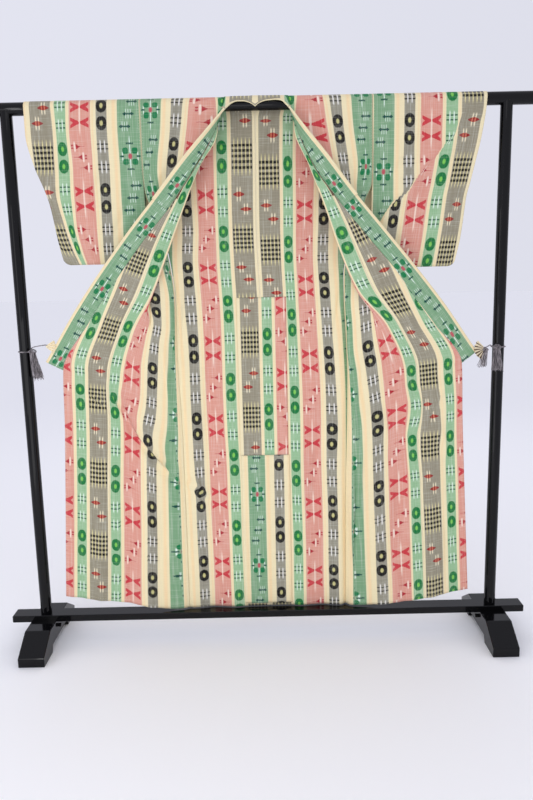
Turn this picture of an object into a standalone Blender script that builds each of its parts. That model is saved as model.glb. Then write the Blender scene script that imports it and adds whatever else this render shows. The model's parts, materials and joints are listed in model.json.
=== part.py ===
"""An unlined tsumugi kimono, hung open on a lacquered kimono rack.

Metres, +Z up, +X to the viewer's right, and the viewer on the -Y side. The origin is on the floor, midway
between the rack's posts. Each cloth sheet is a grid of points across a panel (u, measured from the centre
back line) and along it (v, measured down from the shoulder fold, positive in front and negative behind).
"""
import bisect
import math

import bmesh
import bpy
from mathutils import Matrix, Vector

# Rack
POST_X = 0.700
POST_RADIUS = 0.017
POST_FOOT_Z = 0.030
BAR_RADIUS = 0.018
BAR_Z = 1.596
BAR_HALF = 0.800
RAIL_HALF = 0.800
RAIL_WIDTH = 0.051
RAIL_THICK = 0.0213
RAIL_TOP = 0.0897
FOOT_WIDTH = 0.078
FOOT_HALF = 0.174
FOOT_END_HEIGHT = 0.028
PLATEAU_HALF = 0.095
PLATEAU_Z = 0.0755
ARCH_HALF = 0.080
ARCH_HEIGHT = 0.022
PEG_RADIUS = 0.006
PEG_LENGTH = 0.009
PEG_Z = 0.052
FIT_GAP = 0.0003

# Cloth
CLOTH = 0.0012
COLLAR_THICK = 0.0024
SEAM_GAP = 0.0003
WRAP_RADIUS = BAR_RADIUS + FIT_GAP + CLOTH / 2 + 0.0002
WRAP = math.pi / 2 * WRAP_RADIUS
NECK_U = 0.090
NECK_DROP = 0.036
ROLL_U = 0.118
OKUMI_U = 0.070
OKUMI_WIDTH = 0.150
OKUMI_TIP = 0.265
COLLAR_END = 0.835
FRONT_LENGTH = 1.533
SLEEVE_ATTACH = 0.255
OKUMI_STATIONS = (0.300, 0.34, 0.39, 0.44, 0.49, 0.54, 0.59, 0.64, 0.69, 0.75, 0.80, COLLAR_END, 0.90, 1.00, 1.12,
                  1.26, 1.40, FRONT_LENGTH)
BACK_STATIONS = (0.23, 0.30, 0.37, 0.45, 0.56, 0.70, 0.85, 1.00, 1.18, 1.36)

# Front panel and okumi, across each row: side edge, two inner turns of the hidden pleat, the roll of the
# turned-back front, the middle of the turned-back part, and the edge that the collar is sewn to.
FRONT_U = (0.310, 0.270, 0.220, 0.170, ROLL_U)
PLEAT_PLACES = (0.310, 0.270, 0.240, 0.220, 0.200, 0.170, 0.145, 0.128, ROLL_U, 0.108)
PLEAT_START_U = 0.100
BODY_COLUMNS = len(PLEAT_PLACES)
OKUMI_COLUMNS = 5
BODY_FRONT_STATIONS = (0.275, 0.255, 0.20, 0.15, 0.10, 0.06)
FRONT_X_COLUMNS = ("v", "side", "inner", "pleat", "outer")
FRONT_X = (
    (0.000, 0.3222, 0.275, 0.218, 0.160),
    (0.090, 0.3222, 0.275, 0.220, 0.165),
    (0.200, 0.3222, 0.290, 0.252, 0.208),
    (0.260, 0.3190, 0.290, 0.260, 0.226),
    (0.320, 0.3060, 0.288, 0.268, 0.243),
    (0.450, 0.2850, 0.312, 0.340, 0.303),
    (0.580, 0.2620, 0.305, 0.362, 0.337),
    (0.700, 0.2500, 0.290, 0.338, 0.368),
    (0.800, 0.2450, 0.284, 0.332, 0.380),
    (1.000, 0.2450, 0.283, 0.331, 0.380),
    (1.533, 0.2470, 0.284, 0.332, 0.381),
)
FOLD_Y_COLUMNS = ("v", "side", "inner", "pleat", "outer", "roll", "lapel", "edge")
FOLD_Y = (
    (0.032, -0.0191, -0.0191, -0.0191, -0.0193, -0.0195, -0.0198, -0.0200),
    (0.090, -0.0200, -0.0205, -0.0210, -0.0230, -0.0280, -0.0310, -0.0340),
    (0.200, -0.0210, -0.0220, -0.0240, -0.0280, -0.0340, -0.0400, -0.0430),
    (0.320, -0.0190, -0.0230, -0.0270, -0.0320, -0.0400, -0.0480, -0.0500),
    (0.450, -0.0100, -0.0180, -0.0260, -0.0350, -0.0430, -0.0520, -0.0520),
    (0.580, -0.0020, -0.0140, -0.0240, -0.0340, -0.0430, -0.0510, -0.0500),
    (0.700, 0.0000, -0.0100, -0.0210, -0.0300, -0.0380, -0.0430, -0.0440),
    (0.835, 0.0000, -0.0050, -0.0130, -0.0190, -0.0260, -0.0310, -0.0350),
    (1.000, 0.0000, -0.0030, -0.0090, -0.0130, -0.0190, -0.0230, -0.0300),
    (1.533, 0.0020, -0.0050, -0.0080, -0.0160, -0.0180, -0.0260, -0.0280),
)
# The roll, the sewn edge and the collar's free edge of each side, with the height by which the roll and
# the edge are lifted over cloth that hangs straight.
ROLL_COLUMNS = ("v", "roll", "edge", "roll_lift", "edge_lift")
ROLL = {
    "left": (
        (0.000, 0.098, 0.090, 0.000, 0.000),
        (0.032, 0.101, 0.099, 0.000, 0.000),
        (0.090, 0.110, 0.114, -0.014, -0.012),
        (0.200, 0.164, 0.171, -0.002, -0.001),
        (0.320, 0.211, 0.242, 0.006, 0.019),
        (0.450, 0.260, 0.330, 0.016, 0.046),
        (0.580, 0.311, 0.415, 0.026, 0.066),
        (0.700, 0.390, 0.495, 0.039, 0.076),
        (0.835, 0.425, 0.582, 0.044, 0.072),
        (1.000, 0.430, 0.591, 0.046, 0.068),
        (1.533, 0.431, 0.626, 0.032, 0.062),
    ),
    "right": (
        (0.000, 0.098, 0.090, 0.000, 0.000),
        (0.032, 0.101, 0.099, 0.000, 0.000),
        (0.090, 0.104, 0.108, -0.010, -0.008),
        (0.200, 0.145, 0.155, -0.002, -0.004),
        (0.320, 0.186, 0.225, 0.006, 0.018),
        (0.450, 0.228, 0.309, 0.012, 0.046),
        (0.580, 0.278, 0.400, 0.026, 0.066),
        (0.700, 0.380, 0.488, 0.040, 0.074),
        (0.835, 0.423, 0.586, 0.044, 0.076),
        (1.000, 0.430, 0.592, 0.046, 0.068),
        (1.533, 0.431, 0.622, 0.034, 0.064),
    ),
}
FREE_EDGE_COLUMNS = ("v", "x", "y", "z")
FREE_EDGE = {
    "left": (
        (-0.036, 0.000, -0.0165, 1.6110),
        (-0.030, 0.028, -0.0190, 1.6120),
        (-0.020, 0.050, -0.0270, 1.6080),
        (0.000, 0.066, -0.0420, 1.6000),
        (0.032, 0.086, -0.0600, 1.5830),
        (0.090, 0.124, -0.0640, 1.5440),
        (0.200, 0.208, -0.0560, 1.4470),
        (0.320, 0.281, -0.0540, 1.3560),
        (0.450, 0.370, -0.0530, 1.2510),
        (0.580, 0.456, -0.0510, 1.1420),
        (0.700, 0.539, -0.0460, 1.0280),
        (0.800, 0.605, -0.0380, 0.9200),
        (0.835, 0.624, -0.0350, 0.8880),
    ),
    "right": (
        (-0.036, 0.000, -0.0165, 1.6110),
        (-0.030, 0.028, -0.0190, 1.6120),
        (-0.020, 0.050, -0.0270, 1.6080),
        (0.000, 0.066, -0.0420, 1.6000),
        (0.032, 0.084, -0.0600, 1.5860),
        (0.090, 0.118, -0.0640, 1.5500),
        (0.200, 0.193, -0.0560, 1.4500),
        (0.320, 0.263, -0.0540, 1.3560),
        (0.450, 0.348, -0.0530, 1.2540),
        (0.580, 0.440, -0.0510, 1.1430),
        (0.700, 0.528, -0.0460, 1.0320),
        (0.800, 0.603, -0.0380, 0.9260),
        (0.835, 0.627, -0.0350, 0.8930),
    ),
}
OKUMI_GAP = 0.0008
# Soft folds of the lower fronts by cut place, of the lower back by share of its width, and of the sleeves.
FRONT_FOLDS = ((0.195, 0.018, -0.006), (0.040, 0.020, -0.006), (0.135, 0.016, 0.004), (-0.030, 0.018, 0.004))
BACK_FOLDS = ((0.42, 0.10, -0.005), (0.70, 0.09, 0.005))
SLEEVE_FOLD_COLUMNS = ("share", "v", "lean", "width", "depth")
SLEEVE_FOLDS = {"left": (0.55, 0.25, -0.8, 0.12, 0.004), "right": (0.62, 0.20, 1.2, 0.10, 0.006)}
FRONT_FOLD_START = 0.75
FRONT_FOLD_FULL = 1.25
BACK_FOLD_START = 0.55
BACK_FOLD_FULL = 1.15
BACK_COLUMNS = ("v", "centre", "side", "centre_y", "side_y")
BACK = (
    (0.000, -0.003, 0.3222, 0.0191, 0.0191),
    (0.230, -0.006, 0.3222, 0.0205, 0.0205),
    (0.370, -0.008, 0.3000, 0.0205, 0.0120),
    (0.450, -0.006, 0.2850, 0.0200, 0.0075),
    (0.580, -0.001, 0.2620, 0.0195, 0.0030),
    (0.700, 0.002, 0.2500, 0.0185, 0.0010),
    (1.000, 0.006, 0.2450, 0.0160, 0.0010),
    (1.533, 0.013, 0.2470, 0.0110, 0.0030),
)
SIDE_SEAM_HALF = 0.00025
SIDE_SEAM_START = 0.38
SIDE_SEAM_FULL = 0.43
# Sleeves: inner edge, outer edge and half the space between the two layers, down from the shoulder.
SLEEVE_COLUMNS = ("v", "inner", "outer", "half_gap")
SLEEVE = {
    "left": (
        (0.000, 0.3230, 0.645, 0.0191),
        (0.090, 0.3230, 0.643, 0.0185),
        (0.170, 0.3230, 0.632, 0.0150),
        (0.255, 0.3230, 0.604, 0.0110),
        (0.330, 0.3200, 0.585, 0.0080),
        (0.430, 0.3150, 0.567, 0.0045),
        (0.461, 0.3130, 0.562, 0.0009),
    ),
    "right": (
        (0.000, 0.3230, 0.640, 0.0191),
        (0.090, 0.3230, 0.617, 0.0185),
        (0.170, 0.3230, 0.605, 0.0150),
        (0.255, 0.3230, 0.592, 0.0110),
        (0.330, 0.3200, 0.582, 0.0080),
        (0.450, 0.3150, 0.568, 0.0045),
        (0.488, 0.3130, 0.560, 0.0009),
    ),
}
SLEEVE_END_GAP = 0.0009
SLEEVE_SHARES = (0.0, 0.15, 0.30, 0.45, 0.60, 0.75, 0.88, 0.96, 1.0)
SLEEVE_STATIONS = (0.41, 0.36, 0.31, 0.255, 0.20, 0.14, 0.08)
SLEEVE_HEM = 0.012
CUFF_CLOSES_OVER = 0.04
CORNER_START = 0.85
CORNER_SHARE = 0.10
CORNER_RISE = 0.024
# Seat strips on the inside of the back: top and bottom edge as cut lengths, and the two sides.
SEAT_STRIP_COLUMNS = ("name", "top", "bottom", "left", "right")
SEAT_STRIPS = (
    ("seat_strip_upper", 0.566, 1.0440, -0.060, 0.074),
    ("seat_strip_lower", 1.0447, 1.5255, -0.062, 0.084),
)
STRIP_LIFT = CLOTH + 0.0009

# Over-collar: how far down the front it reaches, and how it clears the collar.
OVER_COLLAR_END = 0.340
COVER_GAP = 0.0012
COVER_LIFT = COLLAR_THICK / 2 + CLOTH / 2 + COVER_GAP
EDGE_LIFT = COVER_LIFT + 0.0010
COVER_RADIUS = BAR_RADIUS + FIT_GAP + CLOTH / 2 + 0.0005
COLLAR_RADIUS = COVER_RADIUS + COVER_LIFT
COLLAR_ACROSS = 6
COLLAR_BULGE = 0.0018
COLLAR_BACK_STATIONS = (-0.036, -0.034, -0.030, -0.025, -0.0185, -0.0115, -0.0050)
COLLAR_FRONT_STATIONS = (0.002, 0.009, 0.016, 0.022, 0.028, 0.034, 0.041, 0.052, 0.068, 0.090, 0.115, 0.145, 0.18,
                         0.22, 0.26)
LAID_OVER_FULL = 0.260
LAID_OVER_END = 0.340
BAR_BEND_FULL = 0.030
BAR_BEND_END = 0.060

# Ties
LOOP_RADIUS = 0.0020
CORD_RADIUS = 0.0016
LOOP_RING = POST_RADIUS + FIT_GAP + LOOP_RADIUS
LOOP_GAP = math.radians(14)
TIE_COLUMNS = ("loop_z", "hang", "grip")
TIES = {
    "left": (0.917, (0.6725, -0.0190, 0.9300), (0.6390, -0.0390, 0.9355)),
    "right": (0.901, (0.6700, -0.0210, 0.9080), (0.6520, -0.0390, 0.9040)),
}
KNOT_STEP = 0.0012
# Gathered collar ends: the fan's turns run from the first angle to the last, measured from outward, up.
PINCH_COLUMNS = ("pleats", "inner", "outer", "first", "last")
PINCHES = {"left": (6, 0.006, 0.034, 165, 258), "right": (9, 0.006, 0.034, 108, 228)}
PINCH_OFFSET = (-0.0022, -0.0020, -0.0020)
PINCH_PLEAT = 0.0020
PINCH_CLOTH = 0.0010
TASSEL_COLUMNS = ("name", "x", "y", "top", "head_radius", "head_height", "length", "spread_factor")
TASSELS = (
    ("tassel_left", -0.6725, -0.0190, 0.9285, 0.0060, 0.014, 0.086, 1.7),
    ("tassel_right_inner", 0.6515, -0.0390, 0.9042, 0.0055, 0.012, 0.062, 1.9),
    ("tassel_right_outer", 0.6888, -0.0258, 0.9130, 0.0065, 0.015, 0.078, 1.6),
)
STRAND_CELLS = 9

COLOURS = {
    "tsumugi_cloth": ((0.62, 0.60, 0.44), 0.85, 0.0),
    "lacquer": ((0.012, 0.012, 0.015), 0.22, 0.0),
    "tie_cord": ((0.20, 0.19, 0.20), 0.8, 0.0),
    "collar_lining": ((0.80, 0.66, 0.40), 0.85, 0.0),
}
SIDES = {"left": -1.0, "right": 1.0}


def table(rows, names, column):
    """Return a smooth function of a table's first column, through one of its columns."""
    index = names.index(column)
    keys = [row[0] for row in rows]
    values = [row[index] for row in rows]
    steps = [(values[i + 1] - values[i]) / (keys[i + 1] - keys[i]) for i in range(len(keys) - 1)]
    slopes = [steps[0]]
    for before, after in zip(steps, steps[1:]):
        slopes.append(2 * before * after / (before + after) if before * after > 0 else 0.0)
    slopes.append(steps[-1])

    def read(key):
        if key <= keys[0]:
            return values[0]
        if key >= keys[-1]:
            return values[-1]
        i = bisect.bisect_right(keys, key) - 1
        span = keys[i + 1] - keys[i]
        t = (key - keys[i]) / span
        rise = values[i + 1] - values[i]
        start = slopes[i] * span
        end = slopes[i + 1] * span
        return values[i] + t * (start + t * ((3 * rise - 2 * start - end) + t * (start + end - 2 * rise)))

    return read


def through(keys, points, key):
    """Return the point at a key on a smooth curve through points, each with its own key."""
    ascending = keys[0] < keys[-1]
    order = keys if ascending else [-k for k in keys]
    key = key if ascending else -key
    i = min(max(bisect.bisect_right(order, key) - 1, 0), len(order) - 2)

    def slope(j):
        low = max(j - 1, 0)
        high = min(j + 1, len(order) - 1)
        return (points[high] - points[low]) / (order[high] - order[low])

    span = order[i + 1] - order[i]
    t = (key - order[i]) / span
    start = slope(i) * span
    end = slope(i + 1) * span
    rise = points[i + 1] - points[i]
    return points[i] + t * (start + t * ((3 * rise - 2 * start - end) + t * (start + end - 2 * rise)))


def ridge(value, centre, width, height):
    """Return the height at one place of a soft fold."""
    return height * math.exp(-(((value - centre) / width) ** 2))


def grow(value, start, full):
    """Return 0 before a start and 1 past a full value, with a straight rise between."""
    return min(max((value - start) / (full - start), 0.0), 1.0)


def wrap(v):
    """Return y and z at a cut length v of cloth that hangs over the bar, in front where v is positive."""
    if abs(v) <= WRAP:
        angle = v / WRAP_RADIUS
        return -WRAP_RADIUS * math.sin(angle), BAR_Z + WRAP_RADIUS * math.cos(angle)
    return math.copysign(WRAP_RADIUS, -v), BAR_Z - (abs(v) - WRAP)


def edge_u(v):
    """Return the cut place of the edge that the collar is sewn to."""
    if v < OKUMI_TIP:
        return NECK_U + (OKUMI_U - NECK_U) * v / OKUMI_TIP
    if v < COLLAR_END:
        return OKUMI_U - OKUMI_WIDTH * (v - OKUMI_TIP) / (COLLAR_END - OKUMI_TIP)
    return OKUMI_U - OKUMI_WIDTH


class Side:
    """One half of the garment, with its sections worked out from the tables."""

    def __init__(self, name):
        self.name = name
        self.sign = SIDES[name]
        self.front_x = [table(FRONT_X, FRONT_X_COLUMNS, c) for c in FRONT_X_COLUMNS[1:]]
        self.fold_y = [table(FOLD_Y, FOLD_Y_COLUMNS, c) for c in FOLD_Y_COLUMNS[1:]]
        rows = ROLL[name]
        self.roll, self.edge, self.roll_lift, self.edge_lift = (
            table(rows, ROLL_COLUMNS, c) for c in ROLL_COLUMNS[1:])
        self.free = [table(FREE_EDGE[name], FREE_EDGE_COLUMNS, c) for c in FREE_EDGE_COLUMNS[1:]]
        self.back = {c: table(BACK, BACK_COLUMNS, c) for c in BACK_COLUMNS[1:]}
        self.sleeve = {c: table(SLEEVE[name], SLEEVE_COLUMNS, c) for c in SLEEVE_COLUMNS[1:]}

    def place(self, x, y, z):
        """Return a point from its distance out from the middle."""
        return Vector((self.sign * x, y, z))

    def front(self, u, v):
        """Return a point of the front panel or okumi at cut place u and cut length v."""
        y_hang, z_hang = wrap(v)
        last = edge_u(v)
        middle = (ROLL_U + last) / 2
        roll_x, edge_x = self.roll(v), self.edge(v)
        xs = [read(v) for read in self.front_x] + [roll_x, (roll_x + edge_x) / 2, edge_x]
        roll_lift, edge_lift = self.roll_lift(v), self.edge_lift(v)
        lifts = [0, 0, 0.2 * roll_lift, 0.6 * roll_lift, roll_lift, (roll_lift + edge_lift) / 2, edge_lift]
        depths = [y_hang] * 7 if v <= WRAP else [read(v) for read in self.fold_y]
        if v >= OKUMI_TIP:
            keys = list(FRONT_U) + [middle, last]
        else:
            keys = list(FRONT_U) + [ROLL_U + 0.6 * (last - ROLL_U), last]
        points = [Vector((x, y, z_hang + lift)) for x, y, lift in zip(xs, depths, lifts)]
        point = through(keys, points, u)
        point.y += grow(v, FRONT_FOLD_START, FRONT_FOLD_FULL) * sum(ridge(u, *fold) for fold in FRONT_FOLDS)
        if u > FRONT_U[0] - 0.0001:
            point.x += grow(v, SIDE_SEAM_START, SIDE_SEAM_FULL) * SIDE_SEAM_HALF
        return self.place(*point)

    def back_x(self, share, v):
        """Return the distance out of a back row at a share of its width."""
        centre = self.back["centre"](v) * self.sign + SEAM_GAP / 2
        return centre + share * (self.back["side"](v) - centre)

    def back_point(self, share, v):
        """Return a point of the back at a share of its width and a cut length v below the shoulder."""
        y_hang, z_hang = wrap(-v)
        x = self.back_x(share, v)
        if v <= WRAP:
            return self.place(x, y_hang, z_hang)
        turn = share ** 3
        y = self.back["centre_y"](v) * (1 - turn) + self.back["side_y"](v) * turn
        y += grow(v, BACK_FOLD_START, BACK_FOLD_FULL) * sum(ridge(share, *fold) for fold in BACK_FOLDS)
        if share > 0.9999:
            x -= grow(v, SIDE_SEAM_START, SIDE_SEAM_FULL) * SIDE_SEAM_HALF
        return self.place(x, y, z_hang)

    def neck_x(self, v):
        """Return how far out the neck's cut edge is, on the stretch behind the shoulder fold."""
        depth = min(max(v / NECK_DROP, 0.0), 1.0)
        return NECK_U * math.sqrt(max(1 - depth ** 2.4, 0.0))

    def body_row(self, v, columns):
        """Return one row of the body panel, from the side edge to the inner edge."""
        if v >= 0:
            inner = max(edge_u(v), OKUMI_U + OKUMI_GAP / 2) if v >= OKUMI_TIP else edge_u(v)
            return [self.front(u, v) for u in front_places(inner, columns)]
        depth = -v
        y, z = wrap(v)
        if depth >= NECK_DROP:
            return [self.back_point(1 - k / columns, depth) for k in range(columns + 1)]
        inner = max(self.neck_x(depth), self.back_x(0, depth))
        outer = self.back["side"](depth)
        return [self.place(outer + (inner - outer) * k / columns, y, z) for k in range(columns + 1)]

    def okumi_row(self, v, columns):
        """Return one row of the okumi, from its seam to its free or collar edge."""
        first = OKUMI_U - OKUMI_GAP / 2
        last = edge_u(v)
        return [self.front(first + (last - first) * k / columns, v) for k in range(columns + 1)]

    def sewn_edge(self, v):
        """Return the point of the body or okumi edge that the collar is sewn to, at one cut length."""
        if v >= 0:
            return self.front(edge_u(v), v)
        y, z = wrap(v)
        return self.place(max(self.neck_x(-v), 0.0), y, z)

    def free_edge(self, v):
        """Return the point of the collar's free edge at one cut length."""
        return self.place(*(read(v) for read in self.free))

    def sleeve_point(self, share, v):
        """Return a sleeve point at a share of its width and a cut length v, in front where positive."""
        drop = abs(v)
        y_hang, z = wrap(v)
        corner = grow(share, 1 - CORNER_SHARE, 1.0)
        low = grow(drop / self.sleeve_length(), CORNER_START, 1.0)
        z += CORNER_RISE * (1 - math.sqrt(max(1 - corner ** 2, 0.0))) * low
        inner, outer = self.sleeve["inner"](drop), self.sleeve["outer"](drop)
        x = inner + share * (outer - inner)
        if drop <= WRAP:
            return self.place(x, y_hang, z)
        half = self.sleeve["half_gap"](drop)
        closed = grow(drop, SLEEVE_ATTACH, SLEEVE_ATTACH + CUFF_CLOSES_OVER) * share ** 6
        half += (SLEEVE_END_GAP - half) * closed
        y = math.copysign(half, -v)
        loose = math.sin(math.pi * share) * math.sin(math.pi * min(drop / self.sleeve_length(), 1.0))
        fold = dict(zip(SLEEVE_FOLD_COLUMNS, SLEEVE_FOLDS[self.name]))
        leaning = share + fold["lean"] * (drop - fold["v"])
        y -= loose * ridge(leaning, fold["share"], fold["width"], fold["depth"])
        return self.place(x, y, z)

    def sleeve_length(self):
        """Return the cut length of one sleeve layer."""
        return SLEEVE[self.name][-1][0]


def front_places(inner, columns):
    """Return the cut places of a front row, closer together round the pleat and the roll."""
    if inner > PLEAT_START_U:
        return spread(FRONT_U[0], inner, columns)
    return list(PLEAT_PLACES) + [inner]


def spread(start, end, count):
    """Return evenly spaced values, both ends included."""
    return [start + (end - start) * k / count for k in range(count + 1)]


def make_material(name):
    """Return a material of the given colour, made once."""
    if name in bpy.data.materials:
        return bpy.data.materials[name]
    colour, roughness, metallic = COLOURS[name]
    material = bpy.data.materials.new(name)
    material.use_nodes = True
    shader = material.node_tree.nodes["Principled BSDF"]
    shader.inputs["Base Color"].default_value = (*colour, 1)
    shader.inputs["Roughness"].default_value = roughness
    shader.inputs["Metallic"].default_value = metallic
    return material


def link(name, mesh, material, collection):
    """Make an object from a mesh in a collection."""
    obj = bpy.data.objects.new(name, mesh)
    collection.objects.link(obj)
    if material:
        mesh.materials.append(make_material(material))
    return obj


def sheet(name, rows, thickness, material, collection):
    """Make a cloth wall of a given thickness on a grid of points."""
    columns = len(rows[0])
    points = [point for row in rows for point in row]
    faces = []
    for i in range(len(rows) - 1):
        for j in range(columns - 1):
            a = i * columns + j
            faces.append((a, a + 1, a + columns + 1, a + columns))
    mesh = bpy.data.meshes.new(name)
    mesh.from_pydata(points, [], faces)
    mesh.validate()
    mesh.shade_smooth()
    obj = link(name, mesh, material, collection)
    wall = obj.modifiers.new("Wall", "SOLIDIFY")
    wall.thickness = thickness
    wall.offset = 0.0
    wall.use_even_offset = False
    wall.use_rim = True
    return obj


def facing(rows, i, j):
    """Return the unit normal of a grid of points at one of its points, from the faces round it."""
    total = Vector()
    for row in (i - 1, i):
        for column in (j - 1, j):
            if 0 <= row < len(rows) - 1 and 0 <= column < len(rows[0]) - 1:
                down = rows[row + 1][column + 1] - rows[row][column]
                up = rows[row + 1][column] - rows[row][column + 1]
                total += up.cross(down).normalized()
    return total.normalized()


def build_body(side, collection):
    """Make a body panel, in one length from the front hem over the shoulder to the back hem."""
    stations = list(reversed(OKUMI_STATIONS)) + list(BODY_FRONT_STATIONS)
    stations += spread(WRAP, -WRAP, 8)
    stations += [-NECK_DROP - 0.001, -0.12] + [-v for v in BACK_STATIONS] + [-back_length()]
    rows = [side.body_row(v, BODY_COLUMNS) for v in stations]
    return sheet("body_" + side.name, rows, CLOTH, "tsumugi_cloth", collection)


def back_length():
    """Return the cut length of the back, which ends just above the rack's rail."""
    return BAR_Z + WRAP - RAIL_TOP - 0.0025


def build_okumi(side, collection):
    """Make an okumi, from its tip under the collar to the hem."""
    rows = [side.okumi_row(v, OKUMI_COLUMNS) for v in OKUMI_STATIONS]
    return sheet("okumi_" + side.name, rows, CLOTH, "tsumugi_cloth", collection)


def build_sleeve(side, collection):
    """Make a sleeve, folded over the bar, with its bottom edges together."""
    length = side.sleeve_length()
    front = [length, length - SLEEVE_HEM] + list(SLEEVE_STATIONS)
    stations = front + spread(WRAP, -WRAP, 8) + [-v for v in reversed(front)]
    rows = [[side.sleeve_point(share, v) for share in SLEEVE_SHARES] for v in stations]
    return sheet("sleeve_" + side.name, rows, CLOTH, "tsumugi_cloth", collection)


def collar_stations(last):
    """Return the cut lengths at which the collar has a section, from the middle of the neck to its end."""
    front = COLLAR_FRONT_STATIONS + OKUMI_STATIONS
    return list(COLLAR_BACK_STATIONS) + [v for v in front if v < last - 0.001] + [last]


def collar_row(side, v):
    """Return one section of the collar, from its seam to its free edge, bent round the bar at the neck."""
    sewn, free = side.sewn_edge(v), side.free_edge(v)
    laid_over = 1 - grow(v, LAID_OVER_FULL, LAID_OVER_END)
    start_gap = 2 * SEAM_GAP + laid_over * (COLLAR_THICK + CLOTH) / 2
    near_bar = 1 - grow(v, BAR_BEND_FULL, BAR_BEND_END)
    ends = []
    for point in (sewn, free):
        y, z = point.y, point.z - BAR_Z
        ends.append((point.x, math.atan2(-y, z), math.hypot(y, z)))
    (x0, angle0, radius0), (x1, angle1, radius1) = ends
    radius0 = max(radius0, COLLAR_RADIUS)
    row = []
    for share in spread(start_gap / (free - sewn).length, 1.0, COLLAR_ACROSS):
        straight = sewn.lerp(free, share)
        straight.y -= math.sin(math.pi * share) * COLLAR_BULGE
        radius = max(radius0 + (radius1 - radius0) * share, COLLAR_RADIUS)
        angle = angle0 + (angle1 - angle0) * share
        bent = Vector((x0 + (x1 - x0) * share, -radius * math.sin(angle), BAR_Z + radius * math.cos(angle)))
        row.append(straight.lerp(bent, near_bar))
    return row


def collar_rows(last):
    """Return the collar's sections from the left end round the neck to the right end."""
    left = [collar_row(LEFT, v) for v in collar_stations(last)]
    right = [collar_row(RIGHT, v) for v in collar_stations(last)]
    middle = [(a + b) / 2 for a, b in zip(left[0], right[0])]
    return list(reversed(left[1:])) + [middle] + right[1:]


def build_collar(collection):
    """Make the collar band, folded double."""
    return sheet("collar", collar_rows(COLLAR_END), COLLAR_THICK, "tsumugi_cloth", collection)


def build_over_collar(collection):
    """Make the cover that wraps the collar's free edge round the neck."""
    base = collar_rows(OVER_COLLAR_END)
    columns = len(base[0]) - 1
    rows = []
    for i, row in enumerate(base):
        front, behind = [], []
        for j in range(1, columns + 1):
            normal = facing(base, i, j)
            front.append(row[j] + normal * COVER_LIFT)
            behind.append(row[j] - normal * COVER_LIFT)
        normal = facing(base, i, columns)
        outward = (row[columns] - row[columns - 1]).normalized()
        edge = []
        for k in (1, 2, 3):
            angle = math.pi * k / 4
            edge.append(row[columns] + normal * COVER_LIFT * math.cos(angle)
                        + outward * EDGE_LIFT * math.sin(angle))
        rows.append(front + edge + list(reversed(behind)))
    return sheet("over_collar", rows, CLOTH, "tsumugi_cloth", collection)


def back_at(x, v):
    """Return the point of the joined back at one distance from the middle and one cut length."""
    side = LEFT if x < side_middle(v) else RIGHT
    inner, outer = side.back_x(0, v), side.back_x(1, v)
    share = (abs(x) if side.sign * x > 0 else -abs(x)) - inner
    return side.back_point(max(share, 0.0) / (outer - inner), v)


def side_middle(v):
    """Return where the centre back seam runs."""
    return RIGHT.back["centre"](v)


def build_seat_strip(name, top, bottom, left, right, collection):
    """Make a strip that covers the centre back seam, from the back's points moved out."""
    rows = []
    for v in [top] + [v for v in BACK_STATIONS if top + 0.02 < v < bottom - 0.02] + [bottom]:
        row = []
        for x in spread(left, right, 6):
            point = back_at(x, v)
            row.append(Vector((x, point.y - STRIP_LIFT, point.z)))
        rows.append(row)
    return sheet(name, rows, CLOTH, "tsumugi_cloth", collection)


def cylinder(name, radius, start, end, segments, material, collection):
    """Make a round bar from one point to another."""
    axis = end - start
    mesh = bpy.data.meshes.new(name)
    form = bmesh.new()
    bmesh.ops.create_cone(form, cap_ends=True, segments=segments, radius1=radius, radius2=radius,
                          depth=axis.length)
    form.to_mesh(mesh)
    form.free()
    turn = axis.to_track_quat("Z", "Y").to_matrix().to_4x4()
    mesh.transform(Matrix.Translation((start + end) / 2) @ turn)
    return link(name, mesh, material, collection)


def box(name, low, high, material, collection):
    """Make a box between two corners."""
    mesh = bpy.data.meshes.new(name)
    form = bmesh.new()
    bmesh.ops.create_cube(form, size=1.0)
    form.to_mesh(mesh)
    form.free()
    size = Vector(high) - Vector(low)
    middle = (Vector(high) + Vector(low)) / 2
    mesh.transform(Matrix.Translation(middle) @ Matrix.Diagonal((*size, 1)))
    return link(name, mesh, material, collection)


def cut(obj, cutter):
    """Cut one object by another."""
    boolean = obj.modifiers.new("Cut " + cutter.name, "BOOLEAN")
    boolean.operation = "DIFFERENCE"
    boolean.object = cutter
    cutter.hide_render = True
    cutter.display_type = "WIRE"


def soften(obj, width, segments=2):
    """Round an object's sharp edges."""
    bevel = obj.modifiers.new("Soft edges", "BEVEL")
    bevel.width = width
    bevel.segments = segments
    bevel.limit_method = "ANGLE"


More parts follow.
